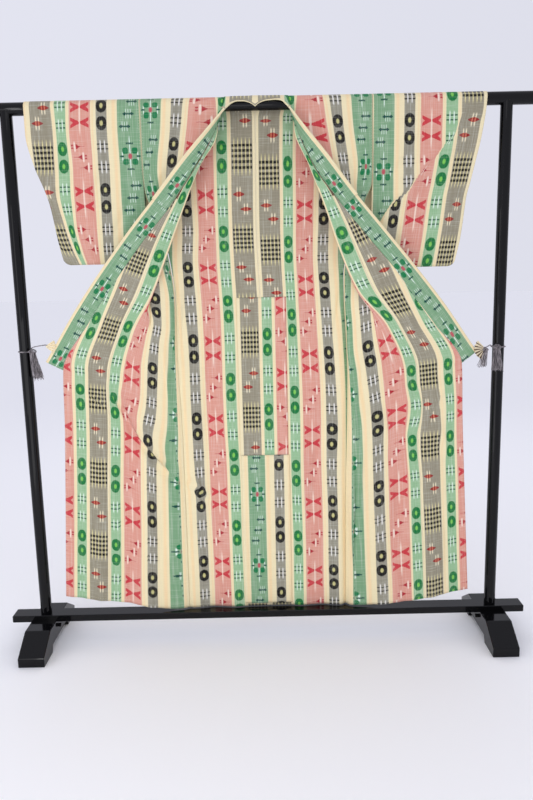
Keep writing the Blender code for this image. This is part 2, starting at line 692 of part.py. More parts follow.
def build_foot(side, collection, cutters):
    """Make a foot with a raised middle, sloped ends and an arch below, with its notch and socket."""
    profile = [(-FOOT_HALF, 0.0), (-FOOT_HALF, FOOT_END_HEIGHT), (-PLATEAU_HALF, PLATEAU_Z),
               (PLATEAU_HALF, PLATEAU_Z), (FOOT_HALF, FOOT_END_HEIGHT), (FOOT_HALF, 0.0),
               (ARCH_HALF + 0.008, 0.0), (ARCH_HALF, ARCH_HEIGHT), (-ARCH_HALF, ARCH_HEIGHT),
               (-ARCH_HALF - 0.008, 0.0)]
    x = side.sign * POST_X
    form = bmesh.new()
    ring = [form.verts.new((x - FOOT_WIDTH / 2, y, z)) for y, z in profile]
    face = form.faces.new(ring)
    moved = bmesh.ops.extrude_face_region(form, geom=[face])
    verts = [item for item in moved["geom"] if isinstance(item, bmesh.types.BMVert)]
    bmesh.ops.translate(form, verts=verts, vec=(FOOT_WIDTH, 0, 0))
    bmesh.ops.recalc_face_normals(form, faces=form.faces)
    mesh = bpy.data.meshes.new("foot_" + side.name)
    form.to_mesh(mesh)
    form.free()
    foot = link("foot_" + side.name, mesh, "lacquer", collection)
    soften(foot, 0.0015, 1)
    rail_bottom = RAIL_TOP - RAIL_THICK
    notch = box("notch_" + side.name, (x - FOOT_WIDTH, -RAIL_WIDTH / 2 - FIT_GAP, rail_bottom - FIT_GAP),
                (x + FOOT_WIDTH, RAIL_WIDTH / 2 + FIT_GAP, PLATEAU_Z + 0.01), None, cutters)
    cut(foot, notch)
    socket = cylinder("socket_" + side.name, POST_RADIUS + FIT_GAP, Vector((x, 0, POST_FOOT_Z - FIT_GAP)),
                      Vector((x, 0, PLATEAU_Z + 0.02)), 32, None, cutters)
    cut(foot, socket)
    inner = x - side.sign * (FOOT_WIDTH / 2 + FIT_GAP)
    peg = cylinder("peg_" + side.name, PEG_RADIUS, Vector((inner, -0.012, PEG_Z)),
                   Vector((inner - side.sign * PEG_LENGTH, -0.012, PEG_Z)), 16, "lacquer", collection)
    soften(peg, 0.001, 1)


def build_rack(collection, cutters):
    """Make the rack: top bar, posts, rail and feet."""
    bar = cylinder("top_bar", BAR_RADIUS, Vector((-BAR_HALF, 0, BAR_Z)), Vector((BAR_HALF, 0, BAR_Z)), 40,
                   "lacquer", collection)
    soften(bar, 0.003)
    saddle = cylinder("saddle", BAR_RADIUS + FIT_GAP, Vector((-BAR_HALF - 0.1, 0, BAR_Z)),
                      Vector((BAR_HALF + 0.1, 0, BAR_Z)), 40, None, cutters)
    rail = box("lower_rail", (-RAIL_HALF, -RAIL_WIDTH / 2, RAIL_TOP - RAIL_THICK),
               (RAIL_HALF, RAIL_WIDTH / 2, RAIL_TOP), "lacquer", collection)
    soften(rail, 0.0015, 1)
    for side in (LEFT, RIGHT):
        x = side.sign * POST_X
        post = cylinder("post_" + side.name, POST_RADIUS, Vector((x, 0, POST_FOOT_Z)), Vector((x, 0, BAR_Z)), 32,
                        "lacquer", collection)
        cut(post, saddle)
        hole = cylinder("rail_hole_" + side.name, POST_RADIUS + FIT_GAP, Vector((x, 0, RAIL_TOP - 0.06)),
                        Vector((x, 0, RAIL_TOP + 0.02)), 32, None, cutters)
        cut(rail, hole)
        build_foot(side, collection, cutters)


def tube(name, points, radius, material, collection):
    """Make a cord through points read from a smooth curve."""
    curve = bpy.data.curves.new(name, "CURVE")
    curve.dimensions = "3D"
    spline = curve.splines.new("POLY")
    spline.points.add(len(points) - 1)
    for place, point in zip(spline.points, points):
        place.co = (*point, 1)
    curve.bevel_depth = radius
    curve.bevel_resolution = 2
    curve.use_fill_caps = True
    curve.materials.append(make_material(material))
    obj = bpy.data.objects.new(name, curve)
    collection.objects.link(obj)
    return obj


def build_tie(side, loop_z, hang, grip, collection):
    """Make a tie: a loop round the post and a cord from it to the gathered collar end."""
    x = side.sign * POST_X
    turns = spread(LOOP_GAP, 2 * math.pi - LOOP_GAP, 20)
    loop = [Vector((x - side.sign * LOOP_RING * math.cos(a), -LOOP_RING * math.sin(a), loop_z)) for a in turns]
    tube("tie_loop_" + side.name, loop, LOOP_RADIUS, "tie_cord", collection)
    knot = side.place(POST_X - LOOP_RING - KNOT_STEP, 0.0, loop_z)
    ends = (knot, side.place(*hang), side.place(*grip))
    path = [through((0.0, 0.4, 1.0), ends, t) for t in spread(0.0, 1.0, 12)]
    tube("tie_cord_" + side.name, path, CORD_RADIUS, "tie_cord", collection)


def build_pinch(side, pleats, inner, outer, first, last, grip, collection):
    """Make the gathered end of collar lining that the cord grips, fanned out in small pleats."""
    middle = side.place(*(place + step for place, step in zip(grip, PINCH_OFFSET)))
    rows = []
    for k in range(2 * pleats + 1):
        angle = math.radians(first + (last - first) * k / (2 * pleats))
        fold = PINCH_PLEAT if k % 2 else -PINCH_PLEAT
        row = []
        for share in spread(0.0, 1.0, 3):
            radius = inner + (outer - inner) * share
            out = Vector((side.sign * radius * math.cos(angle), fold * share, radius * math.sin(angle)))
            row.append(middle + out)
        rows.append(row)
    return sheet("collar_pinch_" + side.name, rows, PINCH_CLOTH, "collar_lining", collection)


def build_tassel(name, x, y, top, head_radius, head_height, length, spread_factor, collection):
    """Make a tassel: strands that hang apart, fused into a round head."""
    cells = STRAND_CELLS
    neck = top - head_height
    form = bmesh.new()

    def disc(i, j):
        a, b = 2 * i / cells - 1, 2 * j / cells - 1
        return a * math.sqrt(1 - b * b / 2), b * math.sqrt(1 - a * a / 2)

    grid = [[form.verts.new((head_radius * disc(i, j)[0], head_radius * disc(i, j)[1], neck))
             for j in range(cells + 1)] for i in range(cells + 1)]
    strands = []
    for i in range(cells):
        for j in range(cells):
            face = form.faces.new((grid[i][j], grid[i][j + 1], grid[i + 1][j + 1], grid[i + 1][j]))
            middle = face.calc_center_median()
            if i % 2 and j % 2 and math.hypot(middle.x, middle.y) < head_radius:
                strands.append((face, (i * 7 + j * 3) % 5))
    rim = [grid[i][0] for i in range(cells)] + [grid[cells][j] for j in range(cells)]
    rim += [grid[i][cells] for i in range(cells, 0, -1)] + [grid[0][j] for j in range(cells, 0, -1)]
    below = rim
    for share in (0.30, 0.80):
        scale = math.sqrt(1 - share ** 2.2) * (1.08 if share < 0.5 else 1.0)
        ring = [form.verts.new((v.co.x * scale, v.co.y * scale, neck + head_height * share)) for v in rim]
        for k in range(len(rim)):
            form.faces.new((below[k - 1], below[k], ring[k], ring[k - 1]))
        below = ring
    form.faces.new(below)
    for face, step in strands:
        drop = (length - head_height) * (0.86 + 0.035 * step)
        centre = face.calc_center_median()
        outward = Vector((centre.x, centre.y, 0)) * (spread_factor - 1)
        for share in (0.45, 0.55):
            moved = bmesh.ops.extrude_discrete_faces(form, faces=[face])
            face = moved["faces"][0]
            bmesh.ops.translate(form, verts=face.verts, vec=outward * share + Vector((0, 0, -drop * share)))
    bmesh.ops.recalc_face_normals(form, faces=form.faces)
    mesh = bpy.data.meshes.new(name)
    form.to_mesh(mesh)
    form.free()
    mesh.transform(Matrix.Translation((x, y, 0)))
    return link(name, mesh, "tie_cord", collection)


LEFT = Side("left")
RIGHT = Side("right")


def main():
    """Build the garment and its rack."""
    for obj in list(bpy.data.objects):
        bpy.data.objects.remove(obj)
    garment = bpy.data.collections.new("tsumugi_kimono_on_rack")
    cutters = bpy.data.collections.new("cutters")
    for collection in (garment, cutters):
        bpy.context.scene.collection.children.link(collection)
    build_rack(garment, cutters)
    for side in (LEFT, RIGHT):
        build_body(side, garment)
        build_okumi(side, garment)
        build_sleeve(side, garment)
    for side in (LEFT, RIGHT):
        tie = dict(zip(TIE_COLUMNS, TIES[side.name]))
        pinch = dict(zip(PINCH_COLUMNS, PINCHES[side.name]))
        build_tie(side, **tie, collection=garment)
        build_pinch(side, **pinch, grip=tie["grip"], collection=garment)
    build_collar(garment)
    build_over_collar(garment)
    for strip in SEAT_STRIPS:
        build_seat_strip(**dict(zip(SEAT_STRIP_COLUMNS, strip)), collection=garment)
    for tassel in TASSELS:
        build_tassel(**dict(zip(TASSEL_COLUMNS, tassel)), collection=garment)


main()
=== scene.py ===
"""An unlined tsumugi kimono, hung open on a lacquered kimono rack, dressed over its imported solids.

Metres, +Z up, +X to the viewer's right and the viewer on the -Y side. Each sheet of cloth is a fine grid
across a panel (u, measured from the centre back line) and along it (v, measured down from the shoulder
fold, positive in front and negative behind). The sheet's "Cut" map holds the place across the bolt in
metres and the place along it in repeats of the woven marks, and the cloth's finish is worked out from it.
"""
import bisect
import json
import logging
import math
from dataclasses import dataclass, field
from enum import Enum
from typing import Callable, Iterable, Sequence, Union

import bpy
from mathutils import Matrix, Vector, noise

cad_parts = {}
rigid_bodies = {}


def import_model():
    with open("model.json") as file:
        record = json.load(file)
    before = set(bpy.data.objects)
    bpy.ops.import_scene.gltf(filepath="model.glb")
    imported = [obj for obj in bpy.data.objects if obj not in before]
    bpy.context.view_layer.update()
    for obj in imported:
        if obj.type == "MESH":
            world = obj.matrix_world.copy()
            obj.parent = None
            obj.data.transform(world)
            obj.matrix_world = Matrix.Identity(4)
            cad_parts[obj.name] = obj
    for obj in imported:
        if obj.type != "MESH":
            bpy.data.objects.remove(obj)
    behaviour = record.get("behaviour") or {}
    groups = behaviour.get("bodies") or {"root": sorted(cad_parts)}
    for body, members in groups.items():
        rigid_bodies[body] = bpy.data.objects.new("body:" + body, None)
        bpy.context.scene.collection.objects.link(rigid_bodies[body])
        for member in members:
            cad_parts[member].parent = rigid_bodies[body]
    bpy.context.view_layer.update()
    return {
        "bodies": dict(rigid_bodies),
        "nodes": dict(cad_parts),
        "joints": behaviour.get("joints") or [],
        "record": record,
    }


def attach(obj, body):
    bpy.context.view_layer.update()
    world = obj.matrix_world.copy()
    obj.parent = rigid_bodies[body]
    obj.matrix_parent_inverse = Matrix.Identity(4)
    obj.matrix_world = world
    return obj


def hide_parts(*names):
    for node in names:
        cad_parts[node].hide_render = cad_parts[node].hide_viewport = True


LOG = logging.getLogger("kimono")
Row = list[Vector]
Marks = list[tuple[float, float]]
Place = tuple[float, float, float]

# Sizes of the solids
POST_X = 0.700
POST_RADIUS = 0.017
BAR_RADIUS = 0.018
BAR_Z = 1.596
RAIL_TOP = 0.0897
FIT_GAP = 0.0003
CLOTH = 0.0012
COLLAR_THICK = 0.0024
SEAM_GAP = 0.0003
WRAP_RADIUS = BAR_RADIUS + FIT_GAP + CLOTH / 2 + 0.0002
WRAP = math.pi / 2 * WRAP_RADIUS
NECK_U = 0.090
NECK_DROP = 0.036
ROLL_U = 0.118
OKUMI_U = 0.070
OKUMI_WIDTH = 0.150
OKUMI_TIP = 0.265
COLLAR_END = 0.835
FRONT_LENGTH = 1.533
BACK_LENGTH = BAR_Z + WRAP - RAIL_TOP - 0.0025
SLEEVE_ATTACH = 0.255
OVER_COLLAR_END = 0.340
COVER_GAP = 0.0012
COVER_LIFT = COLLAR_THICK / 2 + CLOTH / 2 + COVER_GAP
COLLAR_RADIUS = 0.0192
NECK_COVER_LIFT = 0.0012
SHELL = 0.0007

# The bolt, and the places across it at the front's and back's centre lines and at the shoulder seam
REPEAT = 0.2265
SELVEDGE = 0.336
FRONT_W = 0.016
BACK_W = 0.0083
SHOULDER_W = 0.326
SHOULDER_X = 0.3222

# Flat sizes of the sheets.
OKUMI_TOP = 0.300
COLLAR_FLAT = (0.055, 1.98)

# Sections of the hanging cloth
FRONT_U = (0.310, 0.270, 0.220, 0.170, ROLL_U)
SIDE_X = {
    "left": ((0.000, 0.3222), (0.200, 0.3222), (0.260, 0.3190), (0.320, 0.3000), (0.370, 0.2840),
             (0.420, 0.2680), (0.500, 0.2550), (0.565, 0.2500), (0.640, 0.2510), (0.710, 0.2520),
             (0.783, 0.2510), (1.000, 0.2460), (1.533, 0.2470)),
    "right": ((0.000, 0.3222), (0.200, 0.3222), (0.255, 0.3200), (0.298, 0.3025), (0.339, 0.2940),
              (0.420, 0.2620), (0.506, 0.2430), (0.578, 0.2440), (0.650, 0.2480), (0.724, 0.2515),
              (0.800, 0.2540), (0.987, 0.2520), (1.200, 0.2480), (1.533, 0.2470)),
}
FRONT_X_COLUMNS = ("v", "inner", "pleat", "outer")
FRONT_X = {
    "left": (
        (0.000, 0.281, 0.230, 0.174),
        (0.090, 0.286, 0.238, 0.187),
        (0.200, 0.297, 0.253, 0.207),
        (0.260, 0.290, 0.260, 0.226),
        (0.320, 0.284, 0.268, 0.243),
        (0.450, 0.272, 0.298, 0.296),
        (0.565, 0.2585, 0.2870, 0.3330),
        (0.637, 0.2600, 0.2875, 0.3245),
        (0.710, 0.2665, 0.2995, 0.3400),
        (0.783, 0.2700, 0.3060, 0.3557),
        (1.000, 0.280, 0.322, 0.370),
        (1.533, 0.292, 0.342, 0.394),
    ),
    "right": (
        (0.000, 0.281, 0.230, 0.174),
        (0.090, 0.286, 0.238, 0.187),
        (0.200, 0.297, 0.253, 0.207),
        (0.260, 0.290, 0.260, 0.226),
        (0.320, 0.284, 0.268, 0.243),
        (0.450, 0.258, 0.280, 0.286),
        (0.578, 0.2485, 0.2752, 0.3143),
        (0.650, 0.2530, 0.2810, 0.3233),
        (0.724, 0.2560, 0.2859, 0.3340),
        (0.798, 0.2640, 0.2989, 0.3480),
        (0.987, 0.277, 0.317, 0.365),
        (1.250, 0.279, 0.325, 0.375),
        (1.533, 0.284, 0.334, 0.388),
    ),
}
FOLD_Y_COLUMNS = ("v", "side", "inner", "pleat", "outer", "roll", "lapel", "edge")
FOLD_Y = (
    (0.032, -0.0191, -0.0191, -0.0191, -0.0193, -0.0195, -0.0198, -0.0200),
    (0.090, -0.0200, -0.0205, -0.0210, -0.0230, -0.0280, -0.0310, -0.0340),
    (0.200, -0.0210, -0.0220, -0.0240, -0.0280, -0.0340, -0.0400, -0.0430),
    (0.320, -0.0190, -0.0230, -0.0270, -0.0320, -0.0400, -0.0480, -0.0500),
    (0.450, -0.0100, -0.0180, -0.0260, -0.0350, -0.0430, -0.0520, -0.0520),
    (0.580, -0.0020, -0.0140, -0.0240, -0.0340, -0.0430, -0.0510, -0.0500),
    (0.700, 0.0000, -0.0100, -0.0210, -0.0300, -0.0380, -0.0430, -0.0440),
    (0.835, 0.0000, -0.0050, -0.0130, -0.0190, -0.0260, -0.0310, -0.0350),
    (1.000, 0.0000, -0.0030, -0.0090, -0.0130, -0.0190, -0.0230, -0.0300),
    (1.533, 0.0020, -0.0050, -0.0080, -0.0160, -0.0180, -0.0260, -0.0280),
)
ROLL_COLUMNS = ("v", "roll", "edge", "roll_lift", "edge_lift")
ROLL = {
    "left": (
        (0.000, 0.117, 0.090, 0.000, 0.000),
        (0.032, 0.113, 0.093, 0.000, 0.000),
        (0.090, 0.112, 0.113, -0.014, -0.012),
        (0.200, 0.164, 0.171, -0.002, -0.001),
        (0.320, 0.211, 0.242, 0.006, 0.019),
        (0.450, 0.260, 0.330, 0.016, 0.046),
        (0.580, 0.311, 0.415, 0.026, 0.066),
        (0.700, 0.370, 0.495, 0.039, 0.076),
        (0.835, 0.408, 0.582, 0.044, 0.072),
        (1.000, 0.418, 0.591, 0.046, 0.068),
        (1.533, 0.446, 0.626, 0.032, 0.062),
    ),
    "right": (
        (0.000, 0.117, 0.090, 0.000, 0.000),
        (0.032, 0.113, 0.093, 0.000, 0.000),
        (0.090, 0.107, 0.108, -0.010, -0.008),
        (0.200, 0.145, 0.155, -0.002, -0.004),
        (0.320, 0.186, 0.225, 0.006, 0.018),
        (0.450, 0.228, 0.309, 0.012, 0.046),
        (0.580, 0.278, 0.400, 0.026, 0.066),
        (0.700, 0.362, 0.483, 0.040, 0.068),
        (0.835, 0.412, 0.584, 0.044, 0.068),
        (1.000, 0.422, 0.592, 0.045, 0.067),
        (1.533, 0.446, 0.622, 0.016, 0.057),
    ),
}
FREE_EDGE_COLUMNS = ("v", "x", "y", "z")
FREE_EDGE = {
    "left": (
        (-0.036, 0.003, -0.0225, 1.5860),
        (-0.030, 0.016, -0.0230, 1.5945),
        (-0.020, 0.034, -0.0235, 1.5995),
        (-0.008, 0.051, -0.0250, 1.5995),
        (0.000, 0.060, -0.0290, 1.5970),
        (0.032, 0.078, -0.0450, 1.5830),
        (0.090, 0.117, -0.0640, 1.5400),
        (0.200, 0.206, -0.0560, 1.4460),
        (0.320, 0.281, -0.0540, 1.3560),
        (0.450, 0.370, -0.0530, 1.2510),
        (0.580, 0.456, -0.0510, 1.1420),
        (0.700, 0.539, -0.0460, 1.0280),
        (0.800, 0.610, -0.0380, 0.9200),
        (0.835, 0.631, -0.0350, 0.8890),
    ),
    "right": (
        (-0.036, -0.003, -0.0225, 1.5860),
        (-0.030, 0.010, -0.0230, 1.5950),
        (-0.020, 0.030, -0.0235, 1.6005),
        (-0.008, 0.052, -0.0250, 1.6015),
        (0.000, 0.066, -0.0290, 1.5995),
        (0.032, 0.083, -0.0450, 1.5840),
        (0.090, 0.113, -0.0640, 1.5440),
        (0.200, 0.192, -0.0560, 1.4490),
        (0.320, 0.263, -0.0540, 1.3560),
        (0.450, 0.348, -0.0530, 1.2540),
        (0.580, 0.440, -0.0510, 1.1430),
        (0.700, 0.528, -0.0460, 1.0320),
        (0.800, 0.603, -0.0380, 0.9260),
        (0.835, 0.627, -0.0350, 0.8930),
    ),
}
BACK_COLUMNS = ("v", "centre", "centre_y", "side_y")
BACK = (
    (0.000, -0.003, 0.0191, 0.0191),
    (0.230, -0.006, 0.0205, 0.0205),
    (0.370, -0.008, 0.0205, 0.0120),
    (0.450, -0.006, 0.0200, 0.0075),
    (0.580, -0.001, 0.0195, 0.0030),
    (0.700, 0.001, 0.0185, 0.0010),
    (1.000, 0.003, 0.0160, 0.0010),
    (1.533, 0.007, 0.0110, 0.0030),
)
SLEEVE_COLUMNS = ("v", "inner", "outer", "half_gap")
SLEEVE = {
    "left": (
        (0.000, 0.3230, 0.645, 0.0191),
        (0.100, 0.3230, 0.645, 0.0185),
        (0.183, 0.3230, 0.629, 0.0150),
        (0.265, 0.3230, 0.601, 0.0110),
        (0.348, 0.3200, 0.586, 0.0080),
        (0.418, 0.3150, 0.576, 0.0045),
        (0.461, 0.3130, 0.570, 0.0009),
    ),
    "right": (
        (0.000, 0.3230, 0.642, 0.0191),
        (0.050, 0.3230, 0.639, 0.0190),
        (0.130, 0.3230, 0.628, 0.0175),
        (0.210, 0.3230, 0.611, 0.0140),
        (0.291, 0.3220, 0.594, 0.0100),
        (0.374, 0.3180, 0.584, 0.0065),
        (0.443, 0.3150, 0.574, 0.0045),
        (0.488, 0.3130, 0.567, 0.0009),
    ),
}
SLEEVE_END_GAP = 0.0009
SLEEVE_TUCK = 0.026
SLEEVE_BACK_OFF = 0.010
CORNER_SHARE = 0.10
CORNER_RISE = 0.024

# Where the stripes begin to leave the plain cut, and where they have left it
STRIPES_LEAVE = (0.42, 0.56)

# How far the cloth wavers: the fronts, the back out and back, and the sleeves
FRONT_WAVER = 0.0022
BACK_WAVER = (0.0025, 0.0020)
SLEEVE_WAVER = 0.0015

# Long soft folds of the lower fronts and back: their middle, half width and depth
LOW_FOLDS = ((0.195, 0.018, -0.006), (0.040, 0.020, -0.006), (0.135, 0.016, 0.004), (-0.030, 0.018, 0.004))
BACK_FOLDS = ((0.42, 0.10, -0.005), (0.70, 0.09, 0.005))

# Where the stripes lie across each panel, as places across the bolt at places of the panel
FRONT_ACROSS = {
    "left": ((0.116, 0.132), (0.1694, 0.193), (0.1883, 0.209), (0.2167, 0.239), (0.2558, 0.267),
             (0.2910, 0.281), (0.2945, 0.326), (0.3100, 0.336)),
    "right": ((0.112, 0.132), (0.1665, 0.193), (0.1786, 0.209), (0.2106, 0.239), (0.2430, 0.267),
              (0.2800, 0.281), (0.2840, 0.326), (0.3100, 0.336)),
}
OKUMI_ACROSS = {
    "left": ((-0.080, 0.160), (0.070, 0.010)),
    "right": ((-0.080, 0.156), (-0.056, 0.132), (-0.049, 0.122), (-0.018, 0.089), (0.002, 0.078),
              (0.070, 0.010)),
}
BACK_FULLNESS_COLUMNS = ("v", "extra")
BACK_FULLNESS = {
    "left": ((0.10, 0.012), (0.28, 0.014), (0.36, 0.0165), (0.47, 0.010), (0.80, 0.012), (1.533, 0.012)),
    "right": ((0.10, 0.015), (0.28, 0.020), (0.36, 0.021), (0.47, 0.026), (0.56, 0.025), (0.87, 0.013),
              (1.533, 0.012)),
}
BACK_FULL_FROM = {"left": 0.10, "right": 0.06}
BACK_LAST_W = {"left": 0.266, "right": 0.274}
BACK_SLIVER = {"left": 0.0, "right": 0.011}
SEAM_VALLEY = {"left": 0.005, "right": 0.011}
LEFT_SLEEVE_W = (0.0835, 0.127, 0.201, 0.253, 0.325)
LEFT_SLEEVE_COLUMNS = ("v", "edge_w", "ring", "pink", "black", "cream", "seam")
LEFT_SLEEVE = (
    (0.024, 0.000, 0.5655, 0.5235, 0.4520, 0.4000, 0.325),
    (0.103, 0.001, 0.5630, 0.5275, 0.4545, 0.4030, 0.325),
    (0.183, 0.014, 0.5660, 0.5240, 0.4545, 0.4020, 0.325),
    (0.265, 0.052, 0.5680, 0.5270, 0.4545, 0.4040, 0.323),
    (0.348, 0.047, 0.5525, 0.5260, 0.4555, 0.4045, 0.323),
    (0.418, 0.036, 0.5330, 0.5140, 0.4565, 0.4060, 0.321),
    (0.461, 0.022, 0.5160, 0.5020, 0.4560, 0.4060, 0.320),
)
SLEEVE_FOLD_COLUMNS = ("v", "x")
SLEEVE_FOLD = (
    (0.060, 0.585), (0.084, 0.571), (0.128, 0.553), (0.168, 0.517), (0.199, 0.490), (0.247, 0.448),
    (0.274, 0.429), (0.306, 0.387), (0.360, 0.345), (0.400, 0.318),
)
UPPER_STRIP_ACROSS = ((-0.0624, 0.0376), (0.017, 0.129))
LOWER_STRIP_ACROSS = ((-0.0715, -0.0500, 0.0010, 0.0440, 0.0610, 0.0780),
                      (0.336, 0.325, 0.267, 0.224, 0.207, 0.197))

# Where the woven marks repeat along each sheet: cut length, and count of repeats
REPEATS = {
    "body_left": ((-1.520, 7), (-1.290, 6), (-1.066, 5), (-0.832, 4), (-0.595, 3), (-0.396, 2),
                  (-0.294, 1.5), (-0.165, 1), (-0.049, 0.5), (0.043, 0), (0.270, -1), (0.490, -2),
                  (0.706, -3), (0.922, -4), (1.147, -5), (1.375, -6)),
    "body_right": ((-1.329, -6), (-1.104, -5), (-0.875, -4), (-0.640, -3), (-0.430, -2), (-0.216, -1),
                   (-0.088, -0.5), (0.000, 0), (0.208, 1), (0.430, 2), (0.645, 3), (0.859, 4),
                   (1.072, 5), (1.290, 6), (1.510, 7)),
    "okumi_left": ((0.300, 0), (0.505, 1), (0.705, 2), (0.905, 3), (1.133, 4), (1.356, 5)),
    "okumi_right": ((0.420, 0), (0.638, -1), (0.855, -2), (1.072, -3), (1.290, -4), (1.510, -5)),
    "sleeve_left": ((-0.282, -2), (-0.060, -1), (0.165, 0), (0.390, 1)),
    "sleeve_right": ((-0.230, 2), (-0.004, 1), (0.222, 0), (0.448, -1)),
    "collar_left": ((0.200, -1), (0.410, 0), (0.610, 1), (0.808, 2)),
    "collar_right": ((0.150, 1), (0.360, 0), (0.568, -1), (0.762, -2)),
    "over_left": ((0.060, -1), (0.270, 0)),
    "over_right": ((0.060, 1), (0.275, 0)),
    "seat_strip_upper": ((0.698, 0), (0.926, 1)),
    "seat_strip_lower": ((1.168, 0), (1.400, -1)),
}


def table(rows: Sequence[Sequence[float]], names: Sequence[str], column: str) -> Callable[[float], float]:
    """Return a smooth function of a table's first column, through one of its columns.

    Args:
        rows: the table's rows, in ascending order of their first number.
        names: the names of its columns.
        column: the column to read.
    Returns:
        A function that holds its end values outside the table.
    """
    index = names.index(column)
    keys = [row[0] for row in rows]
    values = [row[index] for row in rows]
    steps = [(values[i + 1] - values[i]) / (keys[i + 1] - keys[i]) for i in range(len(keys) - 1)]
    slopes = [steps[0]]
    for before, after in zip(steps, steps[1:]):
        slopes.append(2 * before * after / (before + after) if before * after > 0 else 0.0)
    slopes.append(steps[-1])

    def read(key: float) -> float:
        """Return the column's value at a key.

        Args:
            key: where to read the column.
        Returns:
            The value, held past the table's ends.
        """
        if key <= keys[0]:
            return values[0]
        if key >= keys[-1]:
            return values[-1]
        i = bisect.bisect_right(keys, key) - 1
        span = keys[i + 1] - keys[i]
        t = (key - keys[i]) / span
        rise = values[i + 1] - values[i]
        start = slopes[i] * span
        end = slopes[i + 1] * span
        return values[i] + t * (start + t * ((3 * rise - 2 * start - end) + t * (start + end - 2 * rise)))

    return read


def through(keys: Sequence[float], points: Sequence[Vector], key: float) -> Vector:
    """Return the point at a key on a smooth curve through points, each with its own key.

    Args:
        keys: one number for each point, all rising or all falling.
        points: the points.
        key: where to read the curve.
    Returns:
        The point there.
    """
    order = keys if keys[0] < keys[-1] else [-k for k in keys]
    key = key if keys[0] < keys[-1] else -key
    i = min(max(bisect.bisect_right(order, key) - 1, 0), len(order) - 2)

    def slope(j: int) -> Vector:
        """Return the curve's slope at one of its points.

        Args:
            j: the number of the point.
        Returns:
            The slope there.
        """
        low = max(j - 1, 0)
        high = min(j + 1, len(order) - 1)
        return (points[high] - points[low]) / (order[high] - order[low])

    span = order[i + 1] - order[i]
    t = (key - order[i]) / span
    start = slope(i) * span
    end = slope(i + 1) * span
    rise = points[i + 1] - points[i]
    return points[i] + t * (start + t * ((3 * rise - 2 * start - end) + t * (start + end - 2 * rise)))


def straight(line: tuple[Sequence[float], Sequence[float]], key: float) -> float:
    """Return the value at a key on straight stretches between points.

    Args:
        line: rising keys, and the values at them.
        key: where to read the line.
    Returns:
        The value. The first and last stretches run on past the ends.
    """
    keys, values = line
    i = min(max(bisect.bisect_right(keys, key) - 1, 0), len(keys) - 2)
    return values[i] + (values[i + 1] - values[i]) * (key - keys[i]) / (keys[i + 1] - keys[i])


def ridge(value: float, centre: float, width: float, height: float) -> float:
    """Return the height at one place of a soft fold."""
    return height * math.exp(-(((value - centre) / width) ** 2))


def grow(value: float, start: float, full: float) -> float:
    """Return 0 before a start and 1 past a full value, with a straight rise between."""
    return min(max((value - start) / (full - start), 0.0), 1.0)


def spread(start: float, end: float, count: int) -> list[float]:
    """Return evenly spaced values, both ends included."""
    return [start + (end - start) * k / count for k in range(count + 1)]


def repeats_at(name: str, v: float) -> float:
    """Return the count of woven repeats at a cut length of a sheet."""
    return straight(tuple(zip(*REPEATS[name])), v)


def wrap(v: float) -> tuple[float, float]:
    """Return y and z of cloth that hangs over the bar.

    Args:
        v: the cut length from the shoulder fold, positive in front.
    Returns:
        Its y and z.
    """
    if abs(v) <= WRAP:
        angle = v / WRAP_RADIUS
        return -WRAP_RADIUS * math.sin(angle), BAR_Z + WRAP_RADIUS * math.cos(angle)
    return math.copysign(WRAP_RADIUS, -v), BAR_Z - (abs(v) - WRAP)


def edge_u(v: float) -> float:
    """Return the cut place of the edge that the collar is sewn to.

    Args:
        v: the cut length below the shoulder fold.
    Returns:
        The cut place across, from the centre back line.
    """
    if v < OKUMI_TIP:
        return NECK_U + (OKUMI_U - NECK_U) * v / OKUMI_TIP
    if v < COLLAR_END:
        return OKUMI_U - OKUMI_WIDTH * (v - OKUMI_TIP) / (COLLAR_END - OKUMI_TIP)
    return OKUMI_U - OKUMI_WIDTH


@dataclass(frozen=True)
class Crease:
    """One crease: a soft trough or ridge that tapers at both ends.

    The angle is in degrees from straight down the cloth, depth is towards the back where positive, pull
    is how far the cloth is moved outward, and draw is how far the cloth beside it is drawn into it.
    """

    u: float
    v: float
    angle: float
    half_length: float
    half_width: float
    depth: float
    pull: float = 0.0
    draw: float = 0.0

    def shape(self, u: float, v: float) -> tuple[float, float]:
        """Return the crease's strength at a cut place, and how far off its line that is.

        Args:
            u: the cut place across.
            v: the cut length.
        Returns:
            The strength, from 0 to 1, and the distance in half widths.
        """
        du, dv = u - self.u, v - self.v
        turn = math.radians(self.angle)
        along = dv * math.cos(turn) + du * math.sin(turn)
        across = du * math.cos(turn) - dv * math.sin(turn)
        reach = abs(along) / self.half_length
        if reach >= 1 or abs(across) > 3 * self.half_width:
            return 0.0, 0.0
        side = across / self.half_width
        return (1 - reach ** 2) ** 1.5 * math.exp(-(side ** 2)), side


def creased(creases: Iterable[Crease], u: float, v: float) -> tuple[float, float]:
    """Return how far creases draw a point outward and push it back.

    Args:
        creases: the creases.
        u: the cut place across.
        v: the cut length.
    Returns:
        The distances out and back.
    """
    out = back = 0.0
    for crease in creases:
        strength, side = crease.shape(u, v)
        out += (crease.pull + crease.draw * side * 2.3) * strength
        back += crease.depth * strength
    return out, back


